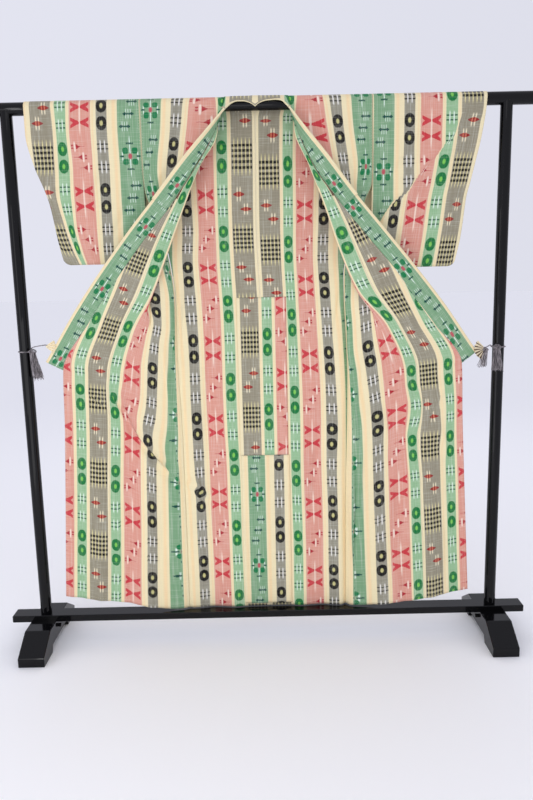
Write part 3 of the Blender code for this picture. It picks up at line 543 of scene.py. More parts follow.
FRONT_CREASES = {
    "left": (
        Crease(0.190, 0.965, 48, 0.190, 0.038, -0.0030, 0.0115),
        Crease(0.142, 0.945, 23, 0.090, 0.010, -0.0070, 0.0, 0.0040),
        Crease(0.130, 0.962, 23, 0.080, 0.010, 0.0060),
        Crease(0.215, 1.040, 47, 0.135, 0.011, -0.0095, 0.0, 0.0056),
        Crease(0.205, 1.056, 47, 0.120, 0.011, 0.0080),
        Crease(0.262, 1.080, 6, 0.140, 0.011, 0.0045),
        Crease(0.285, 1.140, -8, 0.120, 0.008, -0.0040),
        Crease(0.040, 1.060, 10, 0.090, 0.012, 0.0040, 0.003),
        Crease(0.012, 0.960, -24, 0.080, 0.010, -0.0035),
        Crease(0.085, 1.260, 4, 0.170, 0.014, -0.0040),
        Crease(0.255, 0.800, 12, 0.110, 0.010, -0.0050, 0.003),
        Crease(0.225, 1.350, -5, 0.150, 0.013, 0.0040),
        Crease(-0.045, 1.240, 3, 0.180, 0.012, 0.0030),
        Crease(0.205, 0.180, 24, 0.070, 0.010, 0.0035),
        Crease(0.255, 0.235, 30, 0.060, 0.008, -0.0040),
        Crease(0.179, 0.620, -8, 0.060, 0.006, 0.0100, 0.0, 0.0030),
        Crease(0.030, 0.915, 55, 0.045, 0.006, -0.0040, 0.0, 0.0028),
        Crease(0.098, 0.915, 28, 0.055, 0.008, -0.0060, 0.0, 0.0034),
    ),
    "right": (
        Crease(-0.010, 0.975, 10, 0.110, 0.045, -0.0030, 0.0060),
        Crease(0.088, 0.954, 0, 0.080, 0.028, -0.0040, 0.0140),
        Crease(0.090, 1.050, -8, 0.120, 0.040, 0.0020, -0.0060),
        Crease(0.030, 0.990, 20, 0.070, 0.010, 0.0060, 0.0, 0.0030),
        Crease(0.012, 0.950, 32, 0.060, 0.008, -0.0050, 0.0, 0.0030),
        Crease(-0.010, 1.060, -14, 0.080, 0.010, -0.0040, 0.003),
        Crease(0.095, 0.930, 14, 0.110, 0.010, 0.0045),
        Crease(0.180, 0.960, -10, 0.120, 0.012, -0.0045, 0.004),
        Crease(0.235, 0.860, 12, 0.130, 0.010, 0.0050, -0.003),
        Crease(0.262, 1.000, -5, 0.160, 0.009, -0.0045),
        Crease(0.272, 1.240, 2, 0.240, 0.007, 0.0070, 0.0, 0.0030),
        Crease(0.250, 1.120, 6, 0.120, 0.008, -0.0050, 0.0, 0.0020),
        Crease(0.290, 1.330, -3, 0.170, 0.007, -0.0060, 0.0, 0.0020),
        Crease(-0.0075, 1.380, 0, 0.170, 0.004, 0.0050, 0.0, 0.0014),
        Crease(0.205, 1.300, 4, 0.110, 0.008, -0.0045, 0.0, 0.0016),
        Crease(0.150, 1.280, 5, 0.190, 0.013, 0.0040),
        Crease(0.060, 1.350, -4, 0.150, 0.011, -0.0035),
        Crease(-0.040, 1.300, -3, 0.170, 0.011, 0.0030),
        Crease(0.215, 0.190, 20, 0.080, 0.009, 0.0035),
        Crease(0.270, 0.215, 34, 0.060, 0.008, -0.0035),
    ),
}
BACK_CREASES = {
    "left": (
        Crease(0.214, 1.146, -42, 0.075, 0.010, -0.0105, 0.0, 0.0052),
        Crease(0.202, 1.163, -42, 0.060, 0.009, 0.0085),
        Crease(0.205, 0.250, 10, 0.110, 0.010, -0.0040),
        Crease(0.210, 1.160, -6, 0.110, 0.010, -0.0050, -0.004),
        Crease(0.170, 0.900, 4, 0.180, 0.013, 0.0045),
        Crease(0.080, 1.330, -3, 0.170, 0.012, -0.0035),
        Crease(0.225, 0.620, 8, 0.140, 0.009, 0.0040, 0.003),
        Crease(0.130, 0.430, -5, 0.150, 0.012, -0.0030),
        Crease(0.250, 0.400, 20, 0.090, 0.009, -0.0040),
    ),
    "right": (
        Crease(0.190, 0.330, -8, 0.120, 0.010, -0.0040),
        Crease(0.215, 0.950, 5, 0.130, 0.010, -0.0045, 0.003),
        Crease(0.150, 1.120, -4, 0.190, 0.013, 0.0045),
        Crease(0.090, 0.720, 3, 0.160, 0.011, -0.0030),
        Crease(0.230, 0.600, -10, 0.130, 0.009, 0.0045, -0.003),
        Crease(0.095, 1.370, 2, 0.140, 0.012, 0.0035),
        Crease(0.262, 0.450, -22, 0.090, 0.009, -0.0040),
    ),
}
SLEEVE_CREASES = {
    "left": (
        Crease(0.150, 0.235, 24, 0.130, 0.013, -0.0050),
        Crease(0.070, 0.330, 30, 0.090, 0.010, 0.0040),
        Crease(0.235, 0.190, 14, 0.110, 0.012, 0.0040),
        Crease(0.045, 0.120, -8, 0.090, 0.010, -0.0030),
    ),
    "right": (
        Crease(0.120, 0.235, -40, 0.160, 0.011, -0.0065),
        Crease(0.075, 0.210, -38, 0.130, 0.009, 0.0050),
        Crease(0.190, 0.300, -30, 0.110, 0.012, 0.0045),
        Crease(0.225, 0.140, -16, 0.100, 0.010, -0.0040),
    ),
}


class Side(Enum):
    """The two halves of the garment, as the viewer sees them."""

    LEFT = "left"
    RIGHT = "right"


@dataclass
class Drape:
    """How one half of the garment hangs, worked out from the tables of sections."""

    side: Side
    sign: float = field(init=False)

    def __post_init__(self) -> None:
        """Read this half's tables."""
        name = self.side.value
        self.sign = -1.0 if self.side is Side.LEFT else 1.0
        self.side_x = table(SIDE_X[name], ("v", "side"), "side")
        self.front_x = [self.side_x] + [table(FRONT_X[name], FRONT_X_COLUMNS, c) for c in FRONT_X_COLUMNS[1:]]
        self.fold_y = [table(FOLD_Y, FOLD_Y_COLUMNS, c) for c in FOLD_Y_COLUMNS[1:]]
        self.roll, self.edge, self.roll_lift, self.edge_lift = (
            table(ROLL[name], ROLL_COLUMNS, c) for c in ROLL_COLUMNS[1:])
        self.free = [table(FREE_EDGE[name], FREE_EDGE_COLUMNS, c) for c in FREE_EDGE_COLUMNS[1:]]
        self.back = {c: table(BACK, BACK_COLUMNS, c) for c in BACK_COLUMNS[1:]}
        self.sleeve = {c: table(SLEEVE[name], SLEEVE_COLUMNS, c) for c in SLEEVE_COLUMNS[1:]}
        self.sleeve_length = SLEEVE[name][-1][0]
        self.left_stripes = [table(LEFT_SLEEVE, LEFT_SLEEVE_COLUMNS, c) for c in LEFT_SLEEVE_COLUMNS[1:]]
        self.fullness = table(BACK_FULLNESS[name], BACK_FULLNESS_COLUMNS, "extra")
        self.fold_x = table(SLEEVE_FOLD, SLEEVE_FOLD_COLUMNS, "x")

    def place(self, x: float, y: float, z: float) -> Vector:
        """Return a point from its distance out from the middle."""
        return Vector((self.sign * x, y, z))

    def waver(self, u: float, v: float, seed: float) -> float:
        """Return a slow unevenness of the cloth at a cut place, from about -1 to 1."""
        return noise.noise(Vector((u * 9.0 + seed + self.sign * 7.3, v * 4.2, seed)))

    def front(self, u: float, v: float, plain: bool = False) -> Vector:
        """Return a point of the front panel or okumi.

        Args:
            u: the cut place across, from the centre back line.
            v: the cut length below the shoulder fold.
            plain: whether to leave out the creases and the unevenness.
        Returns:
            The point.
        """
        y_hang, z_hang = wrap(v)
        last = edge_u(v)
        middle = (ROLL_U + last) / 2 if v >= OKUMI_TIP else ROLL_U + 0.6 * (last - ROLL_U)
        roll_x, edge_x = self.roll(v), self.edge(v)
        xs = [read(v) for read in self.front_x] + [roll_x, (roll_x + edge_x) / 2, edge_x]
        roll_lift, edge_lift = self.roll_lift(v), self.edge_lift(v)
        lifts = [0, 0, 0.2 * roll_lift, 0.6 * roll_lift, roll_lift, (roll_lift + edge_lift) / 2, edge_lift]
        depths = [y_hang] * 7 if v <= WRAP else [read(v) for read in self.fold_y]
        points = [Vector((x, y, z_hang + lift)) for x, y, lift in zip(xs, depths, lifts)]
        point = through(list(FRONT_U) + [middle, last], points, u)
        low = grow(v, 0.75, 1.25)
        point.y += low * sum(ridge(u, *fold) for fold in LOW_FOLDS)
        point.y += self.seam_valley(FRONT_U[0] - u, v)
        if not plain:
            free = grow(v, 0.05, 0.16) * grow(u, last, last + 0.02) * grow(FRONT_U[0] - u, 0.0, 0.02)
            out, back = creased(FRONT_CREASES[self.side.value], u, v)
            point.x += free * (out + FRONT_WAVER * self.waver(u, v, 1.7) * low)
            point.y += free * (back + FRONT_WAVER * self.waver(u, v, 4.1))
        return self.place(*point)

    def back_x(self, share: float, v: float) -> float:
        """Return the distance out of a back row at a share of its width."""
        centre = self.back["centre"](v) * self.sign + SEAM_GAP / 2
        return centre + share * (self.side_x(v) - centre)

    def back_point(self, share: float, v: float) -> Vector:
        """Return a point of the back.

        Args:
            share: the share of the back's width, from the centre seam.
            v: the cut length below the shoulder fold.
        Returns:
            The point.
        """
        y_hang, z_hang = wrap(-v)
        x = self.back_x(share, v)
        if v <= WRAP:
            return self.place(x, y_hang, z_hang)
        turn = share ** 3
        y = self.back["centre_y"](v) * (1 - turn) + self.back["side_y"](v) * turn
        low = grow(v, 0.55, 1.15)
        y += low * sum(ridge(share, *fold) for fold in BACK_FOLDS)
        free = grow(v, 0.06, 0.18) * grow(share, 0.0, 0.06) * grow(1 - share, 0.0, 0.06)
        u = x - self.back_x(0, v)
        out, pushed = creased(BACK_CREASES[self.side.value], u, v)
        y += self.seam_valley(self.back_x(1, v) - x, v)
        x += free * (out + BACK_WAVER[0] * self.waver(u, -v, 2.9))
        y += free * (pushed + BACK_WAVER[1] * self.waver(u, -v, 6.4))
        return self.place(x, y, z_hang)

    def neck_x(self, v: float) -> float:
        """Return how far out the neck's cut edge is, on the stretch behind the shoulder fold."""
        return NECK_U * math.sqrt(max(1 - grow(v, 0.0, NECK_DROP) ** 2.4, 0.0))

    def sewn_edge(self, v: float) -> Vector:
        """Return the point of the edge that the collar is sewn to.

        Args:
            v: the cut length from the shoulder fold, positive in front.
        Returns:
            The point.
        """
        if v >= 0:
            return self.front(edge_u(v), v, plain=True)
        y, z = wrap(v)
        return self.place(max(self.neck_x(-v), 0.0), y, z)

    def free_edge(self, v: float) -> Vector:
        """Return the point of the collar's free edge at one cut length."""
        return self.place(*(read(v) for read in self.free))

    def sleeve_point(self, share: float, v: float) -> Vector:
        """Return a point of the sleeve.

        Args:
            share: the share of the sleeve's width, from the body.
            v: the cut length from the fold, positive in front.
        Returns:
            The point.
        """
        drop = abs(v)
        y_hang, z = wrap(v)
        corner = grow(share, 1 - CORNER_SHARE, 1.0)
        low = grow(drop / self.sleeve_length, 0.85, 1.0)
        z += CORNER_RISE * (1 - math.sqrt(max(1 - corner ** 2, 0.0))) * low
        inner, outer = self.sleeve["inner"](drop), self.sleeve["outer"](drop)
        behind = grow(drop, SLEEVE_ATTACH - 0.035, SLEEVE_ATTACH + 0.03) * (v < 0)
        inner -= SLEEVE_TUCK * behind
        x = inner + share * (outer - inner)
        if drop <= WRAP:
            return self.place(x, y_hang, z)
        half = self.sleeve["half_gap"](drop)
        closed = grow(drop, SLEEVE_ATTACH, SLEEVE_ATTACH + 0.04) * share ** 6
        half += (SLEEVE_END_GAP - half) * closed
        y = math.copysign(half, -v) + SLEEVE_BACK_OFF * behind * (1 - grow(share, 0.02, 0.20))
        loose = math.sin(math.pi * share) * math.sin(math.pi * min(drop / self.sleeve_length, 1.0))
        if self.side is Side.RIGHT:
            past = x - self.fold_x(drop)
            height = 0.011 * grow(drop, 0.06, 0.24) * grow(share, 0.0, 0.08)
            y -= height * math.exp(-((past / (0.040 if past > 0 else 0.004)) ** 2)) * (1 if v > 0 else 0.3)
        else:
            y -= loose * 0.004 * math.exp(-(((share - 0.55 - 0.8 * (drop - 0.25)) / 0.12) ** 2))
        out, pushed = creased(SLEEVE_CREASES[self.side.value], x - inner, drop)
        hold = min(loose * 2.0, 1.0)
        y += hold * (pushed + SLEEVE_WAVER * self.waver(share * 0.3, v, 8.8))
        return self.place(x + hold * out, y, z)

    def sleeve_w(self, x: float, v: float) -> float:
        """Return the place across the bolt of a sleeve point.

        Args:
            x: how far out the point is.
            v: the cut length from the fold.
        Returns:
            The place across the bolt.
        """
        drop = abs(v)
        outer = self.sleeve["outer"](drop)
        if self.side is Side.LEFT:
            places = [read(drop) for read in self.left_stripes]
            return straight(((*reversed(places[1:]), outer), (*reversed(LEFT_SLEEVE_W), places[0])), x)
        above = 0.325 - (x - 0.326) * 1.01
        inward = outer - x
        below = inward + 0.006 + 0.015 * grow(drop, 0.10, 0.26) * grow(inward, 0.0, 0.06)
        side = grow(x - self.fold_x(drop), -0.0050, -0.0015)
        return above + (below - above) * side * grow(drop, 0.05, 0.09)

    def back_w(self, out: float, depth: float) -> float:
        """Return the place across the bolt of a back point.

        Args:
            out: the distance off the centre seam.
            depth: the cut length below the shoulder fold.
        Returns:
            The place across the bolt.
        """
        name = self.side.value
        last = BACK_LAST_W[name] + BACK_SLIVER[name] * grow(depth, 1.13, 1.24)
        limit = SELVEDGE + (last - SELVEDGE) * grow(depth, 0.36, 0.50)
        return min(BACK_W + out + self.fullness(depth) * grow(out, BACK_FULL_FROM[name], 0.17), limit)

    def seam_valley(self, away: float, depth: float) -> float:
        """Return how far the side seam draws the cloth beside it back."""
        return SEAM_VALLEY[self.side.value] * grow(depth, 0.45, 0.62) * math.exp(-((away / 0.009) ** 2))

    def front_shift(self, u: float, v: float) -> float:
        """Return how far up, in repeats, the marks of the left front's outer stripes are drawn.

        Args:
            u: the cut place across, from the centre back line.
            v: the cut length below the shoulder fold.
        Returns:
            The shift, in repeats.
        """
        if self.side is Side.RIGHT:
            return 0.0
        black = (0.06 * grow(v, 0.50, 0.65) + 0.04 * grow(v, 1.02, 1.12)) * grow(u, 0.172, 0.190)
        return black + 0.04 * grow(v, 1.05, 1.20) * grow(u, 0.098, 0.112)

    def front_w(self, u: float, v: float) -> float:
        """Return the place across the bolt of a front point.

        Args:
            u: the cut place across, from the centre back line.
            v: the cut length below the shoulder fold.
        Returns:
            The place across the bolt.
        """
        stripes = FRONT_ACROSS[self.side.value]
        plain = u + FRONT_W
        if u < stripes[0][0]:
            return plain
        return plain + (straight(tuple(zip(*stripes)), u) - plain) * grow(v, *STRIPES_LEAVE)


class Field:
    """A shader value that Python arithmetic builds nodes on."""

    def __init__(self, graph: "Graph", socket: bpy.types.NodeSocket) -> None:
        """Wrap one output socket of a graph."""
        self.graph = graph
        self.socket = socket

    def maths(self, operation: str, *others: "Number", clamp: bool = False) -> "Field":
        """Return this value put through one Math node with others.

        Args:
            operation: the node's operation.
            others: its other inputs, in order.
            clamp: whether to keep the result from 0 to 1.
        Returns:
            The result.
        """
        inputs = dict(enumerate((self,) + others))
        node = self.graph.node("ShaderNodeMath", {"operation": operation, "use_clamp": clamp}, inputs)
        return Field(self.graph, node.outputs[0])

    def __add__(self, other: "Number") -> "Field":
        """Return the sum."""
        return self.maths("ADD", other)

    def __sub__(self, other: "Number") -> "Field":
        """Return the difference."""
        return self.maths("SUBTRACT", other)

    def __rsub__(self, other: float) -> "Field":
        """Return a number less this value."""
        return self.maths("MULTIPLY_ADD", -1.0, other)

    def __mul__(self, other: "Number") -> "Field":
        """Return the product."""
        return self.maths("MULTIPLY", other)

    def __truediv__(self, other: "Number") -> "Field":
        """Return the quotient."""
        return self.maths("DIVIDE", other)

    def __pow__(self, other: float) -> "Field":
        """Return the power."""
        return self.maths("POWER", other)

    def __abs__(self) -> "Field":
        """Return the value without its sign."""
        return self.maths("ABSOLUTE")

    __radd__ = __add__
    __rmul__ = __mul__

    def fraction(self) -> "Field":
        """Return the part past the whole number."""
        return self.maths("FRACT")

    def nearest(self, step: float) -> "Field":
        """Return how far the value is from the nearest multiple of a step."""
        return (self / step).maths("PINGPONG", 1.0).maths("PINGPONG", 0.5) * step

    def stepped(self, step: float) -> "Field":
        """Return -1, 0 or 1, for the nearest of a step back, none and a step on."""
        return (self / step).maths("ROUND").maths("MAXIMUM", -1.0).maths("MINIMUM", 1.0)

    def below(self, limit: float, soft: float = 0.0012) -> "Field":
        """Return 1 below a limit and 0 above it, with a soft change."""
        return self.maths("MULTIPLY_ADD", -1.0 / soft, limit / soft + 0.5, clamp=True)

    def above(self, limit: float, soft: float = 0.0012) -> "Field":
        """Return 1 above a limit and 0 below it, with a soft change."""
        return self.maths("MULTIPLY_ADD", 1.0 / soft, 0.5 - limit / soft, clamp=True)

    def between(self, low: float, high: float, soft: float = 0.0012) -> "Field":
        """Return 1 between two limits and 0 outside them."""
        return abs(self - (low + high) / 2).below((high - low) / 2, soft)


Number = Union[float, Field]
Colour = tuple[float, float, float]
Layers = list[tuple[Field, Colour]]


def added(parts: Sequence[Field]) -> Field:
    """Return the sum of shader values.

    Args:
        parts: the values.
    Returns:
        The sum.
    """
    total = parts[0]
    for part in parts[1:]:
        total = total + part
    return total


def linear(red: float, green: float, blue: float) -> tuple[float, float, float, float]:
    """Return a screen colour from 0 to 255 as the light it stands for."""
    parts = [c / 255 for c in (red, green, blue)]
    return tuple(c / 12.92 if c <= 0.04045 else ((c + 0.055) / 1.055) ** 2.4 for c in parts) + (1.0,)


class Graph:
    """The nodes of a material or of the world, with one method that adds any of them."""

    def __init__(self, owner: bpy.types.ID, shader: str) -> None:
        """Take the nodes of a new material or world.

        Args:
            owner: the material or world, which has only its shader and its output.
            shader: the shader's name.
        """
        owner.use_nodes = True
        self.owner = owner
        self.tree = owner.node_tree
        self.shader = self.tree.nodes[shader]

    @classmethod
    def of_material(cls, name: str) -> "Graph":
        """Make a material's graph."""
        return cls(bpy.data.materials.new(name), "Principled BSDF")

    @classmethod
    def of_world(cls, name: str) -> "Graph":
        """Make a world's graph."""
        return cls(bpy.data.worlds.new(name), "Background")

    def node(self, kind: str, settings: dict | None = None, inputs: dict | None = None) -> bpy.types.Node:
        """Add a node.

        Args:
            kind: the node's type.
            settings: its own properties, set first.
            inputs: values or fields for its sockets, by name or number.
        Returns:
            The node.
        """
        node = self.tree.nodes.new(kind)
        for key, value in (settings or {}).items():
            setattr(node, key, value)
        for key, value in (inputs or {}).items():
            self.feed(node.inputs[key], value)
        return node

    def feed(self, socket: bpy.types.NodeSocket, value: object) -> None:
        """Set a socket to a constant or link a field to it.

        Args:
            socket: the socket.
            value: the constant or field.
        """
        if isinstance(value, Field):
            self.tree.links.new(value.socket, socket)
        else:
            socket.default_value = value

    def mix(self, factor: Number, first: object, second: object) -> Field:
        """Return one colour laid over another by a factor."""
        node = self.node("ShaderNodeMix", {"data_type": "RGBA"}, {0: factor, 6: first, 7: second})
        return Field(self, node.outputs[2])

    def scaled(self, colour: Field, amount: Field) -> Field:
        """Return a colour made lighter or darker."""
        node = self.node("ShaderNodeVectorMath", {"operation": "SCALE"}, {0: colour, 3: amount})
        return Field(self, node.outputs[0])

    def vector(self, x: Number, y: Number, z: Number = 0.0) -> Field:
        """Return three values as one vector."""
        return Field(self, self.node("ShaderNodeCombineXYZ", None, {0: x, 1: y, 2: z}).outputs[0])

    def cut_place(self) -> tuple[Field, Field]:
        """Read the sheet's cut map.

        Returns:
            The place across the bolt, and the count of repeats along it.
        """
        place = Field(self, self.node("ShaderNodeUVMap", {"uv_map": "Cut"}).outputs[0])
        parts = self.node("ShaderNodeSeparateXYZ", None, {0: place})
        return Field(self, parts.outputs[0]), Field(self, parts.outputs[1])

    def spot(self, scale: Place) -> Field:
        """Return the place on the object, in metres, scaled along each axis.

        Args:
            scale: the scale along each axis.
        Returns:
            The scaled place.
        """
        place = Field(self, self.node("ShaderNodeTexCoord").outputs["Object"])
        node = self.node("ShaderNodeVectorMath", {"operation": "MULTIPLY"}, {0: place, 1: scale})
        return Field(self, node.outputs[0])

    def grain(self, place: Field, detail: float = 2.0) -> Field:
        """Return noise at a place, from 0 to 1."""
        node = self.node("ShaderNodeTexNoise", None, {"Vector": place, "Scale": 1.0, "Detail": detail})
        return Field(self, node.outputs[0])

    def bump(self, height: Field, distance: float, strength: float) -> None:
        """Lead a height to the shader's normal.

        Args:
            height: the height.
            distance: how far out a height of 1 is, in metres.
            strength: the share of it that is shown.
        """
        inputs = {"Strength": strength, "Distance": distance, "Height": height}
        node = self.node("ShaderNodeBump", None, inputs)
        self.feed(self.shader.inputs["Normal"], Field(self, node.outputs[0]))

    def finish(self, **sockets: object) -> bpy.types.ID:
        """Set or feed the shader's sockets.

        Args:
            sockets: constants or fields, by the socket's name with underscores for spaces.
        Returns:
            The material or world.
        """
        for key, value in sockets.items():
            self.feed(self.shader.inputs[key.replace("_", " ")], value)
        return self.owner


@dataclass(frozen=True)
class Stripe:
    """A stripe of the bolt: where it starts and ends across it, and its ground colour."""

    start: float
    end: float
    colour: Colour

    @property
    def centre(self) -> float:
        """Return the middle of the stripe."""
        return (self.start + self.end) / 2


# The woven marks, in metres. A step is from one part to the next along the cloth or across it, and a
# shift is how far across a step moves a part. Off and out are how far a part's middle is from the
# mark's, a reach is where a part starts and ends, and any other size is half the part's.


@dataclass(frozen=True)
class CheckMarks:
    """Black checks crossed by yellow threads, with pointed red marks between."""

    thread_step: float = 0.0110
    thread: float = 0.0015
    threads_across: float = 0.0260
    threads_along: float = 0.0440
    row_step: float = 0.0141
    row: float = 0.0037
    block_across: float = 0.0290
    block_along: float = 0.0352
    point_off: tuple[float, float] = (0.0100, 0.0205)
    point_size: tuple[float, float] = (0.0165, 0.0066)
    bar_out: float = 0.0042
    bar: float = 0.0018
    bar_along: float = 0.0170
    yellow: Colour = (230, 218, 158)
    black: Colour = (14, 11, 9)
    pale: Colour = (234, 222, 188)
    red: Colour = (146, 30, 32)
    orange: Colour = (206, 114, 84)

    def layers(self, across: Field, main: Field, between: Field) -> Layers:
        """Return the masks and colours of the marks, in the order in which they are laid.

        Args:
            across: the distance from the stripe's middle.
            main: the distance along from the nearest place of the large marks.
            between: the distance along from the nearest place halfway between those.
        Returns:
            Masks and colours, in that order.
        """
        threads = across.nearest(self.thread_step).below(self.thread) * abs(across).below(self.threads_across)
        rows = abs(main).nearest(self.row_step).below(self.row, 0.0014)
        checks = abs(main).below(self.block_along) * abs(across).below(self.block_across)
        laid = [(threads * abs(main).below(self.threads_along, 0.014), self.yellow),
                (rows * checks * (1.0 - threads * 0.60), self.black)]
        for side in (-1.0, 1.0):
            out = abs(across + side * self.point_off[0])
            along = abs(between - side * self.point_off[1])
            point = ((out / self.point_size[0]) ** 1.4 + (along / self.point_size[1]) ** 1.4).below(1.0, 0.15)
            bars = abs(out - self.bar_out).below(self.bar)
            laid.append((bars * along.below(self.bar_along, 0.006), self.pale))
            laid.append((point, self.red))
            laid.append((bars * point, self.orange))
        return laid


@dataclass(frozen=True)
class RingMarks:
    """Pairs of rings, with pairs of small crossed marks between."""

    ring: Colour
    middle: Colour
    pale: Colour
    dark: Colour
    ring_off: float = 0.0234
    ring_size: tuple[float, float] = (0.0146, 0.0188)
    hole_size: tuple[float, float] = (0.0044, 0.0070)
    cross_off: float = 0.0275
    bar_out: float = 0.0060
    bar: float = 0.0018
    bar_along: float = 0.0162
    row_off: float = 0.0062
    dash_step: float = 0.0120
    dash: float = 0.0044
    dashes_across: float = 0.0155

    def layers(self, across: Field, main: Field, between: Field) -> Layers:
        """Return the masks and colours of the marks, in the order in which they are laid.

        Args:
            across: the distance from the stripe's middle.
            main: the distance along from the nearest place of the large marks.
            between: the distance along from the nearest place halfway between those.
        Returns:
            Masks and colours, in that order.
        """
        out = abs(across)
        along = abs(abs(main) - self.ring_off)
        ring = ((out / self.ring_size[0]) ** 2.2 + (along / self.ring_size[1]) ** 2.2).below(1.0, 0.18)
        hole = ((out / self.hole_size[0]) ** 2.0 + (along / self.hole_size[1]) ** 2.0).below(1.0, 0.9)
        off = abs(abs(between) - self.cross_off)
        bars = abs(out - self.bar_out).below(self.bar) * off.below(self.bar_along, 0.006)
        dashes = out.nearest(self.dash_step).below(self.dash) * out.below(self.dashes_across)
        rows = abs(off - self.row_off).below(self.bar) * dashes
        return [(ring, self.ring), (hole * ring, self.middle), (bars * 0.9, self.pale), (rows, self.dark)]


@dataclass(frozen=True)
class ButterflyMarks:
    """Pairs of red butterflies, with small arrows that step across between."""

    wing_off: float = 0.0208
    wing: float = 0.0022
    wing_slope: float = 0.47
    wing_reach: tuple[float, float] = (0.0014, 0.0262)
    notch_out: float = 0.0192
    notch_slope: float = 0.86
    line: float = 0.0022
    line_along: float = 0.0480
    arrow_step: float = 0.0285
    arrow_shift: float = 0.0140
    head: float = 0.0064
    head_slope: float = 0.52
    head_reach: tuple[float, float] = (-0.0012, 0.0118)
    tip: float = 0.0009
    tip_reach: tuple[float, float] = (0.0110, 0.0245)
    tail_reach: tuple[float, float] = (-0.0150, -0.0088)
    tail_side_reach: tuple[float, float] = (0.0014, 0.0058)
    tick: float = 0.0023
    tick_out: float = -0.0046
    tick_along: float = 0.0130
    pale: Colour = (252, 230, 210)
    pale_tick: Colour = (250, 232, 216)
    red: Colour = (204, 58, 66)
    dark_head: Colour = (176, 30, 46)
    dark_tail: Colour = (178, 44, 56)
    faint_tip: Colour = (190, 60, 72)

    def layers(self, across: Field, main: Field, between: Field) -> Layers:
        """Return the masks and colours of the marks, in the order in which they are laid.

        Args:
            across: the distance from the stripe's middle.
            main: the distance along from the nearest place of the large marks.
            between: the distance along from the nearest place halfway between those.
        Returns:
            Masks and colours, in that order.
        """
        out = abs(across)
        along = abs(abs(main) - self.wing_off)
        notch = (along - (out - self.notch_out) * self.notch_slope).above(0.0, 0.0018)
        wings = (along - out * self.wing_slope).below(self.wing) * out.between(*self.wing_reach) * notch
        line = out.below(self.line, 0.0016) * abs(main).below(self.line_along, 0.020)
        step = between.stepped(self.arrow_step)
        off = abs(between - step * self.arrow_step)
        ahead = (across - step * self.arrow_shift) * (1.0 - step.above(-0.5, 0.1) * 2.0)
        head = (off + ahead * self.head_slope).below(self.head, 0.0014) * ahead.between(*self.head_reach)
        tip = off.below(self.tip, 0.0010) * ahead.between(*self.tip_reach)
        tail = off.between(*self.tail_side_reach) * ahead.between(*self.tail_reach)
        tick = abs(ahead - self.tick_out).below(self.tick) * off.below(self.tick_along, 0.005)
        return [(line * 0.75, self.pale), (wings, self.red), (tick * 0.8, self.pale_tick),
                (tail, self.dark_tail), (tip * 0.6, self.faint_tip), (head, self.dark_head)]


@dataclass(frozen=True)
class FlowerMarks:
    """Four-petalled flowers, with crossed dashes that step across between."""

    petal_off: tuple[float, float] = (0.0122, 0.0150)
    petal: tuple[float, float] = (0.0076, 0.0086)
    heart: tuple[float, float] = (0.0052, 0.0078)
    stem: float = 0.0013
    stem_along: float = 0.0520
    side_bar: float = 0.0024
    side_reach: tuple[float, float] = (0.0165, 0.0265)
    end_bar: float = 0.0022
    end_off: float = 0.0345
    end_across: float = 0.0095
    flank_out: float = 0.0200
    flank_along: float = 0.0115
    dash_step: float = 0.0335
    dash_shift: float = 0.0100
    dash: tuple[float, float] = (0.0145, 0.0022)
    knob: float = 0.0042
    knob_reach: tuple[float, float] = (0.0058, 0.0116)
    tick_step: float = 0.0062
    tick: float = 0.0010
    ticks_across: float = 0.0080
    tick_reach: tuple[float, float] = (0.0026, 0.0125)
    pale: Colour = (222, 240, 224)
    pale_tick: Colour = (226, 242, 228)
    green: Colour = (12, 122, 70)
    rose: Colour = (188, 88, 94)
    dark_bar: Colour = (14, 82, 66)
    dark_dash: Colour = (22, 84, 70)
    dark_knob: Colour = (12, 74, 62)

    def layers(self, across: Field, main: Field, between: Field) -> Layers:
        """Return the masks and colours of the marks, in the order in which they are laid.

        Args:
            across: the distance from the stripe's middle.
            main: the distance along from the nearest place of the large marks.
            between: the distance along from the nearest place halfway between those.
        Returns:
            Masks and colours, in that order.
        """
        out, along = abs(across), abs(main)
        petals = ((abs(out - self.petal_off[0]) / self.petal[0]) ** 3.0
                  + (abs(along - self.petal_off[1]) / self.petal[1]) ** 3.0).below(1.0, 0.3)
        heart = ((out / self.heart[0]) ** 2.0 + (along / self.heart[1]) ** 2.0).below(1.0, 0.3)
        stem = out.below(self.stem) * along.below(self.stem_along, 0.010)
        side_bars = along.below(self.side_bar) * out.between(*self.side_reach)
        end_bars = abs(along - self.end_off).below(self.end_bar) * out.below(self.end_across)
        flanks = abs(out - self.flank_out).below(self.stem) * along.below(self.flank_along, 0.004)
        step = between.stepped(self.dash_step)
        off = abs(between - step * self.dash_step)
        beside = across + step * self.dash_shift
        dash = off.below(self.dash[1], 0.0012) * abs(beside).below(self.dash[0])
        knobs = off.below(self.knob, 0.0014) * abs(beside).between(*self.knob_reach)
        ticks = beside.nearest(self.tick_step).below(self.tick) * abs(beside).below(self.ticks_across)
        ticks = ticks * off.between(*self.tick_reach, 0.003) * 0.75
        return [(stem, self.pale), (flanks, self.pale), (petals, self.green), (heart, self.rose),
                (side_bars + end_bars, self.dark_bar), (dash, self.dark_dash), (knobs, self.dark_knob),
                (ticks, self.pale_tick)]


